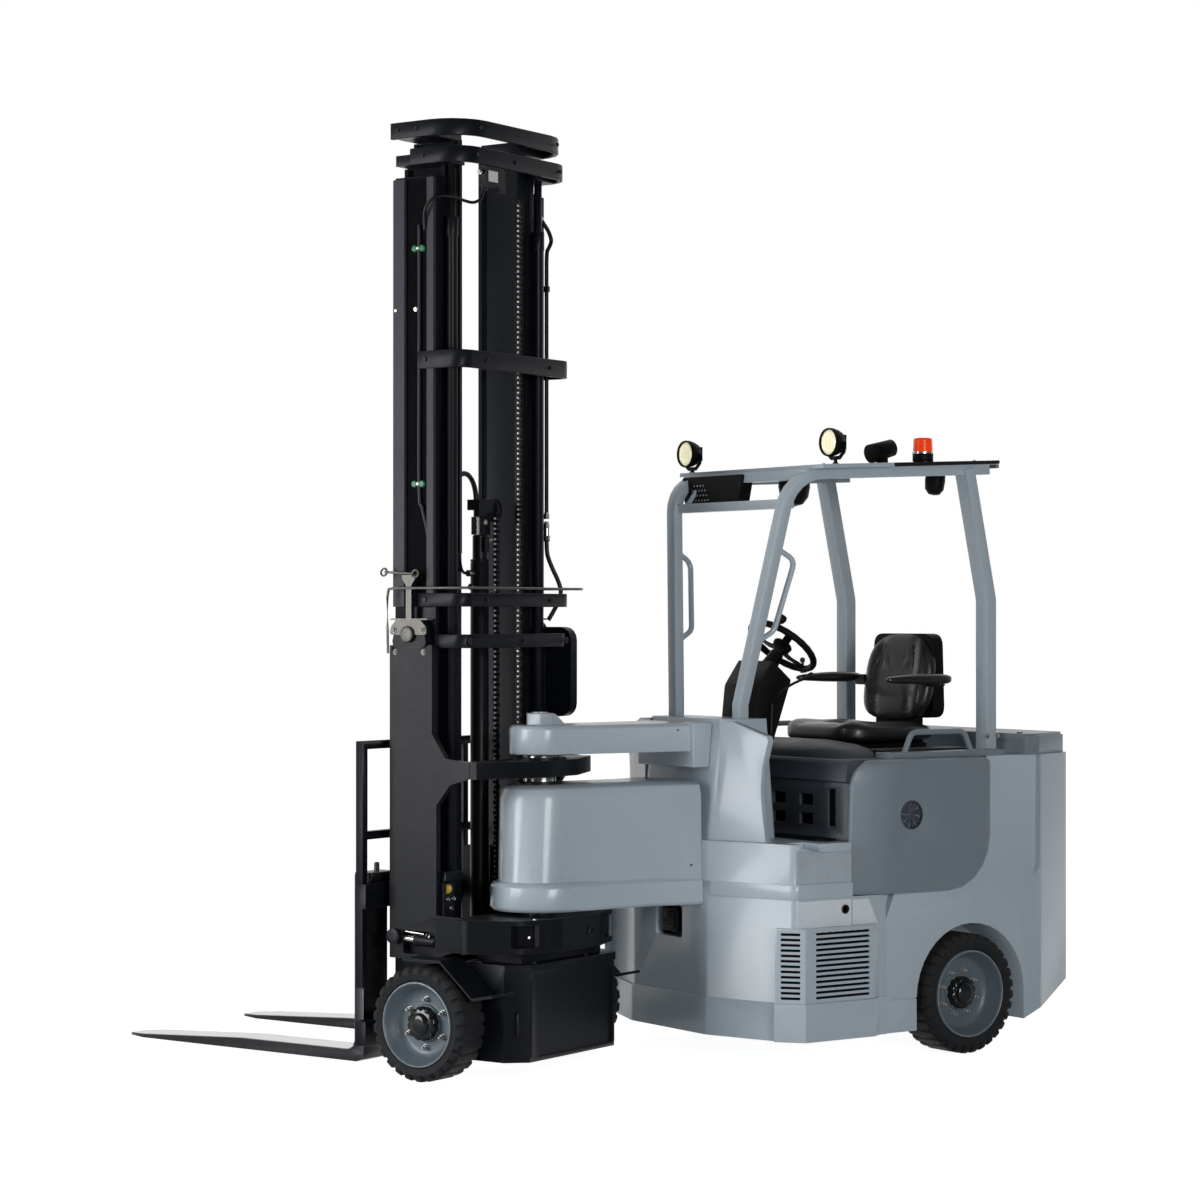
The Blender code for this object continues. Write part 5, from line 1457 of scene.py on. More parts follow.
    def _wheel(self) -> None:
        """The steering wheel: rim with finger grips, three spokes, hub, knob and its column boot."""
        centre = Vector(self.helm)
        tilt = Vector(self.lean).normalized()
        side = Vector(LEFT)
        down = tilt.cross(side).normalized()
        shape = Shape(Unit.REAR)
        rings = []
        for k in range(72):
            turn = 2 * pi * k / 72
            out = side * sin(turn) + down * cos(turn)
            middle = centre + out * self.helm_radius
            size = 0.0136 - (0.0008 if k % 3 == 0 else 0.0)
            rings.append(
                [
                    middle + out * size * cos(a) + tilt * size * sin(a)
                    for a in (pi * j / 6 for j in range(12))
                ]
            )
        shape.rings(rings, looped=True)
        for turn in (0.0, 2 * pi / 3, 4 * pi / 3):
            out = side * sin(turn) + down * cos(turn)
            reach = self.helm_radius
            path = [
                centre + tilt * h + out * r
                for r, h in ((0.02, -0.016), (0.06, -0.014), (0.1, -0.004), (reach - 0.004, 0.0))
            ]
            section = [(-0.016, -0.003), (0.016, -0.003), (0.014, 0.003), (-0.014, 0.003)]
            shape.sweep(smooth_path(path, 4), section, tilt)
        shape.lathe(
            [(-0.03, 0.022), (-0.012, 0.036), (0.004, 0.04), (0.01, 0.036), (0.012, 0.0)],
            centre, tilt, 36
        )
        knob = centre + (side * 0.557 - down * 0.83) * self.helm_radius
        shape.lathe(
            [
                (0.0, 0.008), (0.02, 0.008), (0.026, 0.015), (0.04, 0.0195), (0.051, 0.017),
                (0.055, 0.008), (0.0555, 0.0)
            ],
            knob, tilt, 28
        )
        self.add("helm", shape, Palette.PLASTIC, stands_for=("steering_wheel",))
        boot = Shape(Unit.REAR)
        foot = centre - tilt * 0.1245
        run = centre - tilt * 0.03 - foot
        profile = []
        for k in range(10):
            along = run.length * k / 10
            profile += [(along, 0.036 - 0.001 * k), (along + 0.004, 0.03 - 0.001 * k)]
        boot.lathe([*profile, (run.length, 0.024)], foot, run, 32)
        self.add("column_boot", boot, Palette.HOSE, slot="black_plastic", angle=60)

    def _console(self) -> None:
        """The leaning console with its display, switches, levers and pedals."""
        self.keep(Palette.PLASTIC, 0.008, "steering_console")
        shape = Shape(Unit.REAR)
        normal = Vector(self.lean).normalized()
        down = normal.cross(Vector(LEFT))
        start = Vector(self.helm) - normal * 0.1253
        for y, wide in ((-0.068, 0.03), (0.068, 0.03)):
            corner = [
                start + down * a + Vector((0, y + b * wide, 0))
                for a, b in ((-0.03, -1), (0.03, -1), (0.03, 1), (-0.03, 1))
            ]
            shape.rings([[p - normal * 0.002 for p in corner], [p + normal * 0.004 for p in corner]])
        self.add("console_displays", shape, Palette.GLOSS, bevel=0.0015)
        levers = Shape(Unit.REAR)
        levers.tube([(-1.02, 0.105, 1.36), (-1.05, 0.15, 1.4), (-1.1, 0.19, 1.43)], 0.0055, 10)
        levers.lathe(
            [(0, 0.007), (0.012, 0.012), (0.026, 0.012), (0.034, 0.0)],
            (-1.1, 0.19, 1.43), (-0.6, 0.5, 0.4), 20
        )
        levers.tube([(-0.965, 0.105, 1.1), (-0.975, 0.125, 1.2), (-0.98, 0.13, 1.33)], 0.004, 8)
        for side, _ in SIDES:
            levers.box((-0.985, -0.97), span(side, 0.02, 0.09), (0.86, 0.95))
        self.add("console_levers", levers, Palette.DARK, bevel=0.001)

    def _pad(self, name: str, outline: Callable[[float, float], Vector], node: str, fill: float) -> None:
        """Makes a padded piece from a closed surface given by two turns.

        Args:
            name: the piece's name.
            outline: gives the surface's point for u round it and v from end to end, both from 0 to 1.
            node: the CAD node that it replaces.
            fill: how tight it is stuffed; not used.
        """
        rings = [[outline(i / 64, 0.004 + 0.992 * j / 40) for i in range(64)] for j in range(41)]
        shape = Shape(Unit.REAR).rings(rings)
        obj = self.add(name, shape, Palette.HIDE, stands_for=(node,), angle=60)

    def _seat(self) -> None:
        """The moulded seat: cushion with bolsters, backrest with its panel and piping, and two armrests."""

        def squircle(turn: float, power: float) -> tuple[float, float]:
            """Gives a point of a rounded square for a share of a turn."""
            c, s = cos(2 * pi * turn), sin(2 * pi * turn)
            size = (abs(c) ** power + abs(s) ** power) ** (-1 / power)
            return c * size, s * size

        def cushion(u: float, v: float) -> Vector:
            """The seat cushion: v runs from its underside's middle over the edge to its top's middle."""
            a, b = squircle(u, 5.0)
            swing = pi * (v - 0.5)
            reach = abs(cos(swing)) ** 0.32
            x, y = -1.515 + 0.232 * a * reach, 0.232 * b * reach
            rise = math.copysign(abs(sin(swing)) ** 0.55, swing)
            z = 1.206 + 0.034 * rise
            if rise > 0:
                across, fore = y / 0.232, (x + 1.515) / 0.232
                z += 0.02 * smoothstep(0.45, 0.8, abs(across)) * (1 - abs(across) ** 6) * rise
                z += 0.01 * smoothstep(0.2, 0.8, fore) * rise - 0.012 * smoothstep(-0.2, -0.9, fore) * rise
                z -= 0.004 * math.exp(-((abs(across) - 0.47) / 0.03) ** 2) * rise
                z -= 0.0035 * math.exp(-((fore - 0.1) / 0.035) ** 2) * rise * (
                    1 - smoothstep(0.4, 0.5, abs(across))
                )
            return Vector((x, y, min(z, 1.268)))

        def back(u: float, v: float) -> Vector:
            """The backrest: v runs from its rear's middle over the edge to its front's middle."""
            a, b = squircle(u, 3.6)
            swing = pi * (v - 0.5)
            reach = abs(cos(swing)) ** 0.34
            y, h = 0.196 * a * reach, 0.172 * b * reach
            y *= 1 - 0.16 * smoothstep(0.1, 1.0, h / 0.172)
            depth = math.copysign(abs(sin(swing)) ** 0.6, swing)
            across, up = y / 0.196, h / 0.172
            lean = -1.7 - 0.055 * (up * 0.5 + 0.5)
            x = lean + 0.03 * depth
            if depth > 0:
                x += 0.016 * smoothstep(0.5, 0.85, abs(across)) * (1 - abs(across) ** 8) * depth
                x -= 0.006 * math.exp(-((abs(across) - 0.5) / 0.03) ** 2) * depth
                x += 0.01 * math.exp(-((up + 0.45) / 0.3) ** 2) * (1 - across * across) * depth
                x -= 0.004 * math.exp(-((up - 0.42) / 0.03) ** 2) * (
                    1 - smoothstep(0.42, 0.5, abs(across))
                ) * depth
            return Vector((x, y, 1.424 + h))

        self._pad("driver_cushion", cushion, "seat_cushion", 0.85)
        self._pad("driver_backrest", back, "seat_back", 0.85)
        shell = Shape(Unit.REAR)
        shell.prism(
            soft_outline([(-0.19, 1.262), (0.19, 1.262), (0.178, 1.596), (-0.178, 1.596)], 0.05),
            -1.798, -1.74, "x"
        )
        shell.box((-1.72, -1.33), (-0.17, 0.17), (self.deck + SEAT_GAP, 1.168))
        shell.box((-1.745, -1.7), (-0.12, 0.12), (1.165, 1.3))
        self.add("seat_shell", shell, Palette.PLASTIC, bevel=0.003)
        piping = Shape(Unit.REAR)
        for side in (-1, 1):
            rise = [(0.094, 1.29), (0.1, 1.36), (0.101, 1.43), (0.094, 1.5), (0.078, 1.553)]
            path = [(self._front_of_back(z), side * y, z) for y, z in rise]
            piping.tube(path, 0.0032, 8, LEFT)
        self.add("backrest_piping", piping, Palette.SLATE, slot="seat_cover")
        for side, name in SIDES:

            def rest(u: float, v: float, side: int = side) -> Vector:
                """An armrest: v runs from its rear to its tip."""
                a, b = squircle(u, 3.0)
                end = (1 - abs(2 * v - 1) ** 7) ** 0.4
                slim = 1 - 0.35 * smoothstep(0.45, 1.0, v)
                return Vector(
                    (
                        -1.748 + 0.328 * v, side * 0.278 + 0.031 * a * end * slim,
                        1.418 + 0.0205 * b * end * slim + 0.002 * sin(pi * v)
                    )
                )

            self._pad(f"driver_armrest_{name}", rest, f"armrest_{name}", 0.9)
            arm = Shape(Unit.REAR)
            arm.prism(
                soft_outline([(-1.748, 1.388), (-1.7, 1.388), (-1.69, 1.43), (-1.748, 1.43)], 0.01),
                *span(side, 0.188, 0.249), "y"
            )
            self.add(f"armrest_bracket_{name}", arm, Palette.DARK, bevel=0.002)

    @staticmethod
    def _front_of_back(z: float) -> float:
        """Gives about where the backrest's front face is at a height."""
        return -1.7 - 0.055 * ((z - 1.424) / 0.344 + 0.5) + 0.0285

    def _deck(self) -> None:
        """The floor mat, the folded deck cover ahead of the seat, the bin and the armrest's controls."""
        shape = Shape(Unit.REAR)
        rings = []
        for j in range(15):
            v = j / 14
            row = []
            for i in range(40):
                turn = 2 * pi * i / 40
                c, s = cos(turn), sin(turn)
                size = (abs(c) ** 4 + abs(s) ** 4) ** -0.25
                fade = math.sqrt(max(0.0, 1 - v**3.0))
                x, y = -1.165 + 0.135 * c * size * (
                    1 - 0.12 * v
                ) * max(fade, 0.02), 0.02 + 0.42 * s * size * (1 - 0.08 * v) * max(fade, 0.02)
                wave = 0.01 * noise.noise(Vector((x * 9, y * 7, 3.1))) + 0.004 * noise.noise(
                    Vector((x * 30, y * 24, 1.7))
                )
                row.append((x, y, self.deck + 0.001 + 0.062 * v + wave * v))
            rings.append(row)
        shape.rings(rings)
        self.add("deck_cover", shape, Palette.SLATE, angle=50)
        mat = Shape(Unit.REAR)
        mat.prism(
            soft_outline([(-0.905, -0.52), (-0.905, 0.52), (-0.985, 0.52), (-0.985, -0.52)], 0.02),
            0.8302, 0.838
        )
        for k in range(24):
            y = -0.5 + 0.042 * k
            mat.box((-0.98, -0.91), (y, y + 0.02), (0.8375, 0.8405))
        self.add("floor_mat", mat, Palette.PLASTIC)
        panel = Shape(Unit.REAR)
        panel.box((-1.26, -1.03), (-0.568, -0.545), (self.deck + SEAT_GAP, self.deck + 0.075))
        for side, _ in SIDES:
            panel.box((-1.7, -1.28), span(side, 0.3, 0.44), (self.deck + SEAT_GAP, self.deck + 0.028))
        self.add("deck_panels", panel, Palette.SHEET, bevel=0.006)
        stick = Shape(Unit.REAR)
        stick.lathe(
            [
                (0, 0.014), (0.006, 0.012), (0.008, 0.005), (0.04, 0.005), (0.044, 0.01), (0.058, 0.011),
                (0.064, 0.0)
            ],
            (-1.455, -0.278, 1.4378), (0.1, 0, 1), 24
        )
        self.add("armrest_stick", stick, Palette.GLOSS)
        knob = Shape(Unit.REAR)
        knob.lathe(
            [(0, 0.01), (0.01, 0.01), (0.012, 0.018), (0.022, 0.018), (0.026, 0.0)],
            (-1.3, -0.36, self.deck + 0.0285), UP, 24
        )
        self.add("stop_knob", knob, Palette.RED)


@dataclass
class FrontUnit(SubAssembly):
    """The front frame, its housing, the bearing caps, the tilt cylinders and what is clipped to them."""

    plate_in: float = 0.337
    plate_out: float = 0.362
    trunnion: tuple[float, float] = (0.318, 1.6)

    def build(self) -> None:
        """Dresses the frame and adds its fittings."""
        self.keep(Palette.MAST, 0.0, "front_frame")
        self.keep(Palette.MAST, 0.004, "front_housing")
        self.keep(Palette.DARK, 0.001, "front_axle")
        for side, name in SIDES:
            self._bearing_cap(side, name)
            self._tilt_cylinder(side, name)
        self._hoop()
        self._housing_fittings()
        self._base_fittings()

    def _bearing_cap(self, side: int, name: str) -> None:
        """The steel pillow block over the trunnion, with its stem, screws and pin cover.

        Args:
            side: 1 on the left, -1 on the right.
            name: the side's name.
        """
        x, z = self.trunnion
        near, far = side * (self.plate_in - 0.0008), side * (self.plate_out + 0.0116)
        shape = Shape(Unit.FRONT)
        block = [
            (x - 0.084, 1.598), (x + 0.084, 1.598), (x + 0.08, 1.628), (x + 0.05, 1.6565),
            (x - 0.052, 1.6565), (x - 0.082, 1.628)
        ]
        shape.prism(
            soft_outline(block, 0.012), *sorted((side * (self.plate_out + 0.0102), far + side * 0.004)), "y"
        )
        stem = [
            (x - 0.0125, 1.655), (x + 0.0125, 1.655), (x + 0.0125, 1.778), (x + 0.029, 1.8),
            (x + 0.029, 1.8155), (x - 0.029, 1.8155), (x - 0.029, 1.8), (x - 0.0125, 1.778)
        ]
        shape.prism(stem, *sorted((side * (self.plate_out + 0.0102), far)), "y")
        shape.box((x - 0.084, x + 0.084), sorted((near, far)), (1.6515, 1.6575))
        self.add(f"bearing_cap_{name}", shape, Palette.FORGED, bevel=0.0015)
        pin = Shape(Unit.FRONT)
        pin.lathe(
            [(0, 0.0275), (0.004, 0.0275), (0.006, 0.024), (0.006, 0.01), (0.004, 0.008), (0.004, 0.0)],
            (x, far + side * 0.01, z), (0, side, 0), 36
        )
        for dx in (-0.065, 0.065):
            pin.bolt((x + dx, far + side * 0.004, 1.617), (0, side, 0), 0.0095)
        for dx, z_spot in ((-0.06, 1.535), (0.07, 1.535)):
            pin.bolt((x + dx, side * self.plate_out, z_spot), (0, side, 0), 0.008)
        self.add(f"trunnion_cover_{name}", pin, Palette.FORGED)

    def _tilt_cylinder(self, side: int, name: str) -> None:
        """The tilt cylinder that shows in the side plate's window.

        Args:
            side: 1 on the left, -1 on the right.
            name: the side's name.
        """
        y = side * 0.3495
        barrel = Shape(Unit.FRONT)
        barrel.lathe(
            [(0, 0.016), (0.004, 0.021), (0.075, 0.021), (0.078, 0.024), (0.09, 0.024), (0.092, 0.018)],
            (0.208, y, 0.486), (1, 0, 0.05), 28
        )
        self.add(f"tilt_barrel_{name}", barrel, Palette.DARK)
        rod = Shape(Unit.FRONT)
        rod.rod((0.296, y, 0.4905), (0.351, y, 0.493), 0.0125, 24)
        rod.rod((0.262, y + side * 0.002, 0.512), (0.345, y + side * 0.004, 0.518), 0.0045, 12)
        rod.union((0.23, y + side * 0.012, 0.507), (0.3, side, 0.4), 0.008, 0.006, 0.006, 0.016)
        self.add(f"tilt_rod_{name}", rod, Palette.BRIGHT)
        boss = Shape(Unit.FRONT)
        boss.lathe(
            [(0, 0.0285), (0.003, 0.0285), (0.005, 0.025), (0.005, 0.013), (0.003, 0.011), (0.003, 0.0)],
            (0.383, side * (self.plate_out + 0.0201), 0.5), (0, side, 0), 32
        )
        self.add(f"tilt_boss_{name}", boss, Palette.DARK)

    def _hoop(self) -> None:
        """The bright wire hoop round the mast, on the bearing caps' stems."""
        z = 1.768
        shape = Shape(Unit.FRONT)
        y = 0.3795
        path = [
            (0.408, y, 1.53), (0.41, y, 1.62), (0.411, y, 1.735), (0.405, y, 1.764), (0.38, y, z),
            (0.2, y, z), (0.09, y, z)
        ]
        back = [
            (0.066, 0.366, z), (0.058, 0.335, z), (0.058, 0.0, z), (0.058, -0.335, z), (0.066, -0.366, z),
            (0.09, -y, z), (0.3, -y, z), (0.345, -y, z)
        ]
        shape.sweep([*path, *back], arc_outline((0, 0), 0.0048, 10), (0.001, 0.001, 1))
        self.add("guard_hoop", shape, Palette.FORGED, angle=60)
        lever = Shape(Unit.FRONT)
        lever.rod((0.3, y - 0.004, 1.8205), (0.425, y - 0.004, 1.8265), 0.0045, 12)
        ring = [
            (0.004 * cos(a), 0.0135 + 0.004 * sin(a))
            for a in (2 * pi * k / 8 for k in range(8))
        ]
        lever.lathe(ring, (0.43, y - 0.004, 1.8265), (0, 1, 0.2), 24, closed=True)
        lever.lathe(ring, (0.286, y - 0.004, 1.82), (0, 1, 0.2), 24, closed=True)
        self.add("hoop_lever", lever, Palette.FORGED)

    def _housing_fittings(self) -> None:
        """The drive housing's corner strips, handle and screws."""
        shape = Shape(Unit.FRONT)
        for side, _ in SIDES:
            shape.box((-0.1535, -0.1435), span(side, 0.2535, 0.2655), (0.085, 0.365))
        self.add("housing_strips", shape, Palette.MAST, bevel=0.002)
        handle = Shape(Unit.FRONT)
        out = Vector((-0.67, 0.74, 0)).normalized()
        base = Vector((-0.118, 0.3, 0)) + out * 0.004
        grip = base + out * 0.016
        route = [(*base.xy, 0.17), (*grip.xy, 0.178), (*grip.xy, 0.242), (*base.xy, 0.25)]
        handle.tube(route, 0.0042, 10, out)
        self.add("housing_handles", handle, Palette.DARK)
        screws = Shape(Unit.FRONT)
        for x, y in ((-0.12, 0.2), (-0.12, -0.12), (0.05, 0.3), (0.05, -0.3)):
            screws.bolt((x, y, 0.4178), UP, 0.008)
        self.add("housing_screws", screws, Palette.DARK)

    def _base_fittings(self) -> None:
        """Valve, unions and the yellow breather beside the mast, and the base plate's lugs."""
        cap = Shape(Unit.FRONT)
        axis = (-0.55, 0.83, 0)
        profile = [
            (0.0, 0.0152), (0.0024, 0.018), (0.008, 0.018), (0.0096, 0.0164), (0.012, 0.0172),
            (0.0184, 0.0172), (0.0208, 0.0136), (0.0212, 0.0)
        ]
        cap.lathe(profile, (0.194, 0.302, 0.677), axis, 14)
        self.add("breather_cap", cap, Palette.YELLOW, bevel=0.001)
        block = Shape(Unit.FRONT)
        for side, _ in SIDES:
            block.box((0.185, 0.2055), span(side, 0.27, 0.3365), (0.58, 0.7))
        block.prism(
            soft_outline([(-0.15, 0.182), (-0.118, 0.15), (-0.095, 0.178), (-0.125, 0.21)], 0.006),
            0.47, 0.56
        )
        self.add("valve_blocks", block, Palette.DARK, bevel=0.002)
        unions = Shape(Unit.FRONT)
        for y, z in ((0.285, 0.64), (0.318, 0.64), (0.3, 0.606)):
            unions.union((0.185, y, z), (-1, 0.2, 0), 0.0085, 0.007, 0.006, 0.014)
        unions.union((-0.118, 0.232, 0.512), (-0.7, 0.7, 0.1), 0.006, 0.008, 0.004, 0.016)
        unions.bolt((-0.146, 0.232, BASE_PLATE_TOP), UP, 0.006)
        self.add("oil_unions", unions, Palette.BRIGHT)
        lug = Shape(Unit.FRONT)
        ring = [(0.0, 0.0165), (0.004, 0.017), (0.006, 0.015), (0.006, 0.0125), (0.0, 0.012)]
        lug.lathe(ring, (-0.1895, -0.055, 0.517), (-1, -0.05, 0), 28, closed=True)
        self.add("tow_eye", lug, Palette.DARK)


@dataclass
class Mast(SubAssembly):
    """The three mast stages with their chains, pipes, hoses and clamps."""

    chain_pitch: float = 0.01905
    pipe_radius: float = 0.0078
    web_face: float = 0.3318
    clamp_levels: tuple[float, float] = (2.147, 3.005)
    stages: tuple[str, ...] = (
        "outer_mast", "outer_belt_top", "outer_belt_middle", "outer_belt_low", "middle_mast",
        "middle_crosshead", "inner_mast", "inner_crosshead",
    )

    def build(self) -> None:
        """Dresses the stages and adds what runs along them."""
        self.keep(Palette.MAST, 0.0022, *self.stages)
        self.keep(Palette.MAST, 0.0015, "lift_cylinder_left", "lift_cylinder_right")
        self._chain("lift_chain_left", (0.295, 0.268), 0.46, 3.295, "middle_stage")
        self._chain("lift_chain_right", (0.216, -0.174), 0.62, 3.235, "middle_stage")
        self._chain("free_chain_left", (0.222, -0.034), 0.62, 2.06, "inner_stage")
        self._chain("free_chain_right", (0.322, -0.066), 0.86, 2.06, "inner_stage")
        self._rail_faces()
        self._free_cylinder()
        self._sheave()
        self._pipes()
        self._clamps()
        self._bolts()
        self._hoses()

    def _chain(self, name: str, spot: tuple[float, float], low: float, high: float, body: str) -> None:
        """A leaf chain: linked plates on pins, from its lower anchor to its upper one.

        Args:
            name: the piece's name.
            spot: its place across the mast.
            low: its lower end.
            high: its upper end.
            body: the stage it rides on.
        """
        shape, pins = Shape(Unit.FRONT), Shape(Unit.FRONT)
        x, y = spot
        pitch = self.chain_pitch
        count = int((high - low) / pitch)
        for k in range(count):
            z = low + pitch * k
            link = soft_outline(
                [
                    (x - 0.0085, z - 0.004), (x + 0.0085, z - 0.004), (x + 0.0085, z + pitch + 0.004),
                    (x - 0.0085, z + pitch + 0.004)
                ],
                0.0085, 2
            )
            offsets = (-0.0085, 0.0035) if k % 2 else (-0.0025, 0.0095)
            for offset in offsets:
                shape.prism(link, y + offset - 0.0022, y + offset + 0.0002, "y")
            # The pins' near-white finish stands for bright pin steel and also paints glints along the chain.
            pins.lathe(
                [(0, 0.0042), (0.024, 0.0042), (0.0258, 0.003), (0.0258, 0.0)],
                (x, y - 0.0115, z), LEFT, 8
            )
        shape.rod((x, y, low - 0.05), (x, y, low + 0.004), 0.008, 12)
        self.add(name, shape, Palette.CHAIN, body)
        self.add(f"{name}_pins", pins, Palette.PIN_AND_GLINT, body)

    def _sheave(self) -> None:
        """The chain wheel beside the free-lift cylinder's head."""
        shape = Shape(Unit.FRONT)
        rim = [
            (-0.015, 0.046), (-0.011, 0.046), (-0.01, 0.038), (0.01, 0.038), (0.011, 0.046), (0.015, 0.046),
            (0.015, 0.014), (-0.015, 0.014),
        ]
        shape.lathe(rim, (0.272, -0.066, 2.062), LEFT, 36, closed=True)
        shape.rod((0.272, -0.086, 2.062), (0.272, -0.045, 2.062), 0.0145, 20)
        self.add("chain_sheave", shape, Palette.DARK, "inner_stage", bevel=0.001)

    def _rail_faces(self) -> None:
        """The outer rails' flanges and the thin pipe clipped to the web, in a lighter mast paint that is
        painted highlight, with a near-black painted shade panel on the web between the flanges.
        """
        low, high, web = 1.7, 3.262, 0.3312
        for side, name in SIDES:
            flanges, shade_panel, pipe = Shape(Unit.FRONT), Shape(Unit.FRONT), Shape(Unit.FRONT)
            flange = span(side, web, web + 0.014)
            # Painted highlight: the flanges and the pipe wear a lighter copy of the mast paint, where they
            # face the light.
            flanges.box((0.36, 0.4128), flange, (low, high))
            flanges.box((0.2265, 0.258), flange, (low, high))
            self.add(f"rail_flanges_{name}", flanges, Palette.MAST_HIGHLIT, "outer_stage", bevel=0.0015)
            # Painted shade: a near-black panel on the web, for the shade between the flanges.
            shade_panel.box((0.2585, 0.3595), span(side, web, web + 0.0006), (low, high))
            self.add(f"rail_web_painted_shade_{name}", shade_panel, Palette.SHADE, "outer_stage")
            y = side * (web + 0.0085)
            route = [
                (0.296, y, 3.09), (0.296, y, 2.6), (0.296, y, 2.13), (0.282, y, 2.06), (0.258, y, 1.97),
                (0.246, y, 1.86), (0.246, y, 1.72)
            ]
            pipe.tube(route, 0.0058, 10, LEFT)
            self.add(f"rail_pipe_{name}", pipe, Palette.MAST_HIGHLIT, "outer_stage")

    def _pipes(self) -> None:
        """The rigid oil pipes along the outer stage, with their standoffs and unions."""
        shape = Shape(Unit.FRONT)
        shape.rod((0.206, -0.333, 2.06), (0.206, -0.333, 3.02), self.pipe_radius, 14)
        shape.tube(
            [
                (0.206, -0.333, 3.02), (0.206, -0.337, 3.055), (0.207, -0.353, 3.075),
                (0.208, -0.366, 3.1), (0.208, -0.35, 3.13), (0.214, -0.326, 3.16), (0.2175, -0.312, 3.175)
            ],
            self.pipe_radius, 14, (1, 0.1, 0.1)
        )
        for z in (1.95, 2.9):
            shape.box((0.196, 0.2262), (-0.341, -0.325), (z, z + 0.022))
        self.add("oil_pipes", shape, Palette.HOSE, "outer_stage", slot="mast_paint", bevel=0.001)
        union = Shape(Unit.FRONT)
        for z in (2.055, 2.02):
            union.union((0.206, -0.333, z - 0.02), UP, 0.0125, 0.018, 0.01, 0.026)
        union.rod((0.206, -0.333, 1.955), (0.206, -0.333, 2.01), 0.0105, 18)
        union.union((0.2185, -0.306, 3.178), (0.1, -0.8, -0.4), 0.012, 0.014, 0.009, 0.022)
        self.add("pipe_unions", union, Palette.BRIGHT, "outer_stage")
        riser = Shape(Unit.FRONT)
        riser.rod((0.205, 0.213, 1.895), (0.205, 0.213, 3.407), self.pipe_radius, 14)
        self.add("free_lift_pipe", riser, Palette.HOSE, "inner_stage", slot="mast_paint")

    def _clamps(self) -> None:
        """The green two-lobed clamps and bright screws on the near rail's web."""
        for side, name in SIDES:
            shape = Shape(Unit.FRONT)
            for z in self.clamp_levels:
                for dx in (-0.017, 0.017):
                    lobe = [(0, 0.013), (0.014, 0.013), (0.018, 0.01), (0.0185, 0.0)]
                    shape.lathe(lobe, (0.296 + dx, side * self.web_face, z), (0, side, 0), 20)
                shape.box((0.279, 0.313), span(side, self.web_face, 0.347), (z - 0.007, z + 0.007))
            self.add(f"hose_clamps_{name}", shape, Palette.GREEN, "outer_stage")
            screws = Shape(Unit.FRONT)
            for z in self.clamp_levels:
                screws.bolt((0.296, side * 0.3468, z), (0, side, 0), 0.005, False)
            screws.bolt((0.318, side * self.web_face, 2.785), (0, side, 0), 0.006)
            screws.bolt((0.398, side * 0.3452, 2.783), (0, side, 0), 0.006, False)
            self.add(f"clamp_screws_{name}", screws, Palette.BRIGHT, "outer_stage")

    def _bolts(self) -> None:
        """The bolts through the belts and crossheads."""
        for name, body, z, half, xs, ys in (
            ("outer_belt_bolts", "outer_stage", (2.597, 1.725), 0.3473, (0.262,), (-0.2, 0.2)),
            ("middle_belt_bolts", "middle_stage", (3.34,), 0.352, (0.27,), (-0.26, 0.02, 0.26)),
            ("inner_belt_bolts", "inner_stage", (3.44,), 0.352, (0.3, 0.385), (-0.24, 0.24)),
        ):
            shape = Shape(Unit.FRONT)
            for level in z:
                for side in (-1, 1):
                    for x in xs:
                        shape.bolt((x, side * half, level), (0, side, 0), 0.008, False)
                for y in ys:
                    shape.bolt((0.092, y, level), ASTERN, 0.008, False)
            self.add(name, shape, Palette.DARK, body)
        low = Shape(Unit.FRONT)
        for y in (-0.3, -0.03, 0.3):
            low.bolt((0.092, y, 1.575), ASTERN, 0.009)
        self.add("low_belt_bolts", low, Palette.DARK, "outer_stage")

    def _free_cylinder(self) -> None:
        """The free-lift cylinder: barrel, ringed gland, rod, head block, valve and unions."""
        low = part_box("free_lift_cylinder")[0][2]
        axis = (0.275, 0.0)
        shape = Shape(Unit.FRONT)
        profile = [
            (low, 0.03), (low, 0.0345), (1.862, 0.0345), (1.866, 0.032), (1.87, 0.0345), (1.877, 0.0345),
            (1.879, 0.0265), (1.966, 0.0265), (1.968, 0.022), (2.04, 0.022), (2.04, 0.0),
        ]
        shape.lathe(profile, (*axis, 0.0), UP, 40)
        shape.box((0.238, 0.262), (-0.05, 0.05), (2.036, 2.0995))
        shape.box((0.262, 0.3), (-0.045, 0.045), (2.06, 2.0995))
        shape.box((0.243, 0.268), (-0.026, 0.022), (1.968, 2.036))
        shape.box((0.232, 0.252), (-0.004, 0.02), (1.905, 1.96))
        self.add(
            "free_cylinder", shape, Palette.MAST, "inner_stage", bevel=0.002,
            stands_for=("free_lift_cylinder",)
        )
        valve = Shape(Unit.FRONT)
        valve.box((0.252, 0.28), (0.022, 0.046), (1.968, 2.035))
        valve.rod((0.243, 0.008, 2.015), (0.239, 0.008, 2.015), 0.011, 20)
        valve.union((0.243, -0.012, 1.95), ASTERN, 0.0095, 0.01, 0.007, 0.016)
        self.add("head_valve", valve, Palette.BRIGHT, "inner_stage", bevel=0.0015)
        union = Shape(Unit.FRONT)
        for y, z in ((0.066, 1.825), (0.05, 1.775)):
            union.rod((0.281, 0.034, z), (0.281, y, z), 0.0125, 18)
        union.union((0.242, -0.03, 1.75), ASTERN, 0.0085, 0.008, 0.006, 0.018)
        self.add("head_unions", union, Palette.BRIGHT, "inner_stage", bevel=0.001)

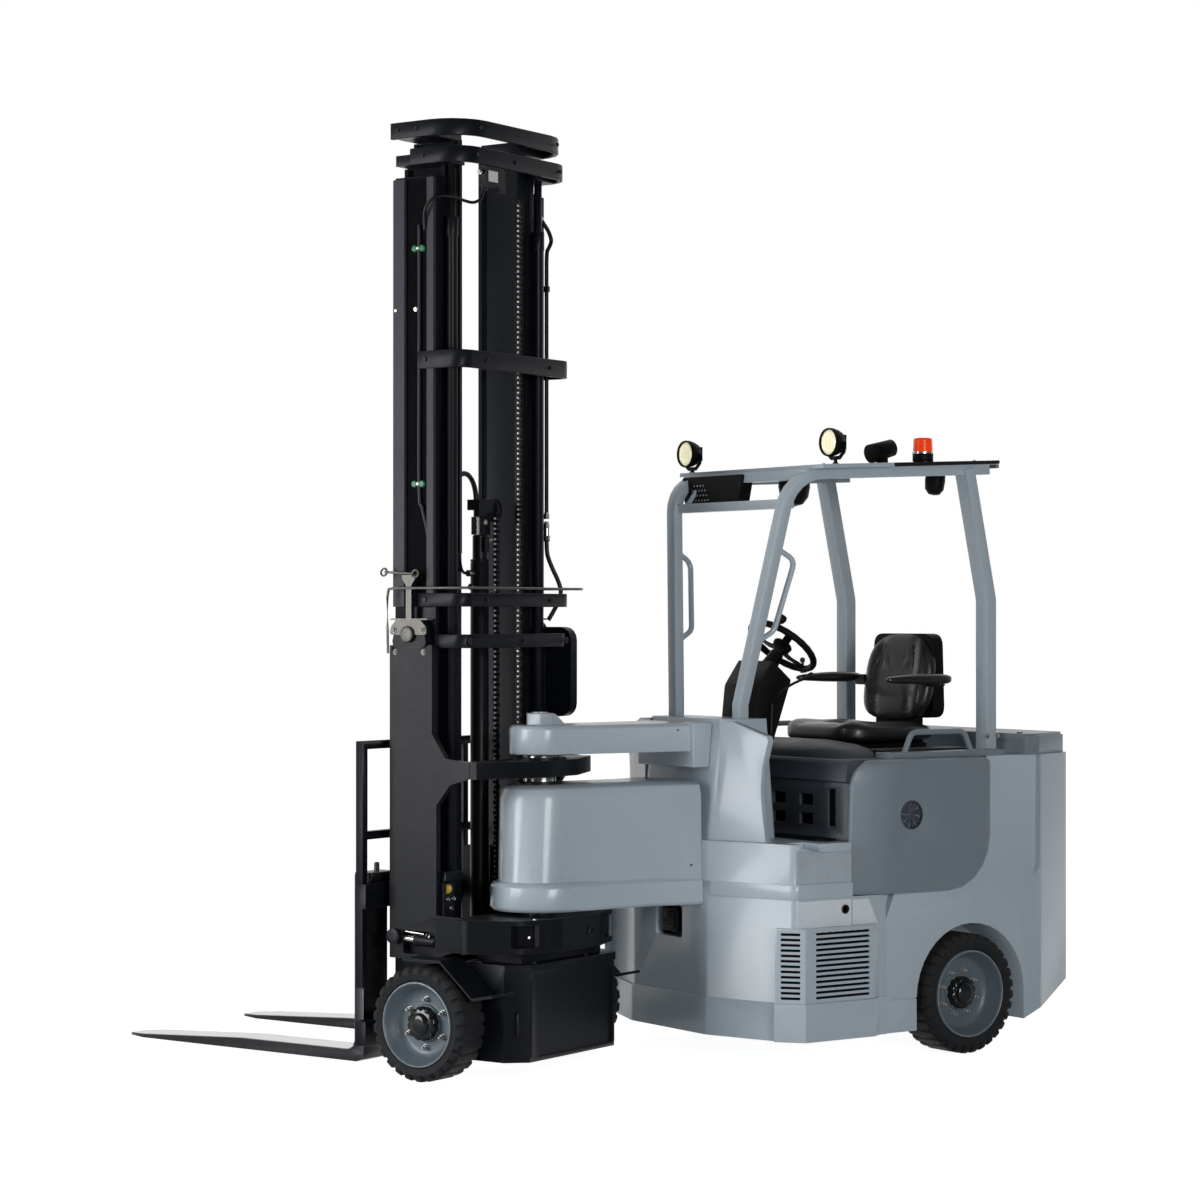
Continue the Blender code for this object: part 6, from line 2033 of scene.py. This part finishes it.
    def _hose(self, name: str, points: Sequence[Place], radius: float, body: str) -> None:
        """A rubber hose between two unions, as a curve of one line.

        Args:
            name: the piece's name.
            points: what it passes through, in the front unit's frame.
            radius: its radius.
            body: the body it rides on.
        """
        route = [self.workshop.point(Unit.FRONT, p) for p in smooth_path(points, 6)]
        data = bpy.data.curves.new(name, "CURVE")
        data.dimensions = "3D"
        data.bevel_depth = radius
        data.bevel_resolution = 3
        data.use_fill_caps = True
        spline = data.splines.new("POLY")
        spline.points.add(len(route) - 1)
        for spot, point in zip(route, spline.points):
            point.co = (*spot, 1)
        data.materials.append(self.workshop.shop.get(Palette.HOSE))
        obj = stand(name, data)
        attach(obj, body)

    def _hoses(self) -> None:
        """The hoses that hang free between their unions."""
        self._hose(
            "hose_right_low",
            [
                (0.206, -0.333, 1.955), (0.204, -0.336, 1.9), (0.192, -0.35, 1.85), (0.177, -0.368, 1.8),
                (0.17, -0.376, 1.76), (0.176, -0.368, 1.72), (0.19, -0.352, 1.68), (0.203, -0.34, 1.65)
            ],
            0.0085, "outer_stage",
        )
        self._hose(
            "hose_loop_left",
            self._bow((0.266, 0.034), (0.229, 0.224), 2.036, 2.095, 1.99),
            0.0095, "inner_stage",
        )
        self._hose(
            "hose_low_left",
            [
                (0.205, 0.213, 1.905), (0.205, 0.213, 1.88), (0.209, 0.205, 1.856), (0.22, 0.184, 1.838),
                (0.236, 0.153, 1.828), (0.254, 0.118, 1.825), (0.27, 0.084, 1.825), (0.281, 0.062, 1.825),
            ],
            0.0058, "inner_stage",
        )
        self._hose(
            "hose_head",
            [
                (0.112, 0.188, 3.285), (0.112, 0.189, 3.25), (0.113, 0.194, 3.215), (0.117, 0.209, 3.185),
                (0.127, 0.238, 3.171), (0.141, 0.273, 3.175), (0.158, 0.306, 3.184), (0.18, 0.335, 3.188),
                (0.206, 0.356, 3.183), (0.232, 0.364, 3.166), (0.252, 0.361, 3.14), (0.262, 0.353, 3.105),
                (0.264, 0.348, 3.07),
            ],
            0.0058, "middle_stage",
        )
        block = Shape(Unit.FRONT)
        block.box((0.096, 0.128), (0.095, 0.203), (3.236, 3.3092))
        block.box((0.1, 0.124), (0.075, 0.11), (3.218, 3.3))
        block.rod((0.112, 0.188, 3.219), (0.112, 0.188, 3.24), 0.0115, 16)
        self.add("hose_anchor", block, Palette.DARK, "middle_stage", bevel=0.002)
        face = Shape(Unit.FRONT)
        face.box((0.0952, 0.0962), (0.128, 0.186), (3.252, 3.292))
        face.union((0.112, 0.2032, 3.285), LEFT, 0.01, 0.012, 0.007, 0.022)
        self.add("anchor_fittings", face, Palette.BRIGHT, "middle_stage", bevel=0.0006)

    @staticmethod
    def _bow(
        start: tuple[float, float], end: tuple[float, float], foot: float, spring: float, tip: float
    ) -> list[Place]:
        """Gives the route of a hose that rises, bends over in a half circle and comes down.

        Args:
            start: where it rises, across the mast.
            end: where it comes down, across the mast.
            foot: the height that it starts at.
            spring: the height at which the bend starts.
            tip: the height that it ends at.

        Returns:
            The route's points.
        """
        a, b = Vector(start), Vector(end)
        middle, half = (a + b) / 2, (a - b) / 2
        route: list[Place] = [(*a, foot), (*a, (foot + spring) / 2)]
        for k in range(9):
            turn = pi * k / 8
            route.append((*(middle + half * cos(turn)), spring + half.length * sin(turn)))
        return [*route, (*b, (spring + tip) / 2), (*b, tip)]


@dataclass
class Carriage(SubAssembly):
    """The fork carriage, its backrest and the two forks."""

    def build(self) -> None:
        """Dresses the carriage and adds its hooks, pins and bolts."""
        self.keep(Palette.MAST, 0.002, "fork_carriage", "load_backrest")
        self.keep(Palette.DARK, 0.0015, "roller_plate_left", "roller_plate_right")
        self.keep(Palette.FORK, 0.0015, "fork_left", "fork_right")
        for side, name in SIDES:
            self._fork_top(side, name)
            self._hooks(side, name)
        self._bolts()

    def _fork_top(self, side: int, name: str) -> None:
        """The blade's polished top, where loads have slid.

        Args:
            side: 1 on the left, -1 on the right.
            name: the side's name.
        """
        shape = Shape(Unit.FRONT)
        rings = []
        for k in range(25):
            x = 0.583 + (1.686 - 0.583) * k / 24
            z = 0.076 if x < 1.1 else 0.076 - (x - 1.1) * (0.076 - 0.047) / (1.69 - 1.1)
            half = 0.0685 if x < 1.6 else 0.0685 - (x - 1.6) * 0.034 / 0.09
            rings.append(
                [
                    (x, side * 0.33 - half, z + 0.0001), (x, side * 0.33 + half, z + 0.0001),
                    (x, side * 0.33 + half - 0.0006, z + 0.0008),
                    (x, side * 0.33 - half + 0.0006, z + 0.0008)
                ]
            )
        shape.rings(rings)
        self.add(f"fork_polish_{name}", shape, Palette.FORK_TOP, "lift_carriage")

    def _hooks(self, side: int, name: str) -> None:
        """The fork's upper hook, its stop and the lock pin.

        Args:
            side: 1 on the left, -1 on the right.
            name: the side's name.
        """
        shape = Shape(Unit.FRONT)
        hook = [
            (0.478, 0.6905), (0.548, 0.6905), (0.548, 0.728), (0.47, 0.728), (0.466, 0.716),
            (0.472, 0.7005)
        ]
        shape.prism(soft_outline(hook, 0.004, 2), *span(side, 0.262, 0.398), "y")
        shape.lathe([(0, 0.01), (0.03, 0.01), (0.034, 0.006)], (0.5, side * 0.33, 0.728), UP, 18)
        self.add(f"fork_hook_{name}", shape, Palette.FORK, "lift_carriage", bevel=0.0015)

    def _bolts(self) -> None:
        """The bolts that hold the backrest to the carriage."""
        shape = Shape(Unit.FRONT)
        for y in (-0.435, 0.435):
            for z in (0.63, 0.665):
                shape.bolt((0.5052, y, z), AHEAD, 0.007)
        for y in (-0.435, 0.435):
            for z in (0.36, 0.56, 0.74, 1.195):
                shape.bolt((0.5021, y, z), AHEAD, 0.006, False)
        self.add("carriage_bolts", shape, Palette.GREY_STEEL, "lift_carriage")


def main() -> None:
    """Builds the studio and the truck."""
    logging.basicConfig(level=logging.INFO, format="%(name)s: %(message)s")
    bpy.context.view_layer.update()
    low, high = (Vector(v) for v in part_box("kingpin"))
    site = Site(Vector(((low.x + high.x) / 2, (low.y + high.y) / 2, 0.0)))
    workshop = Workshop(site, FinishShop())
    Studio(workshop).build()
    RearBody(workshop).build()
    Cab(workshop).build()
    FrontUnit(workshop).build()
    Mast(workshop).build()
    Carriage(workshop).build()
    for side, name in SIDES:
        WheelSet(
            workshop, f"rear_{name}", Unit.REAR, side, -1.57, 0.2285, 0.178, 0.062, 0.6, blocks=32,
            studs=8
        ).build()
        WheelSet(
            workshop, f"front_{name}", Unit.FRONT, side, 0.18, 0.2065, 0.152, 0.0525, 0.506, blocks=26,
            studs=6
        ).build()
    LOG.info("%d pieces", workshop.count)


if __name__ == "__main__":
    main()
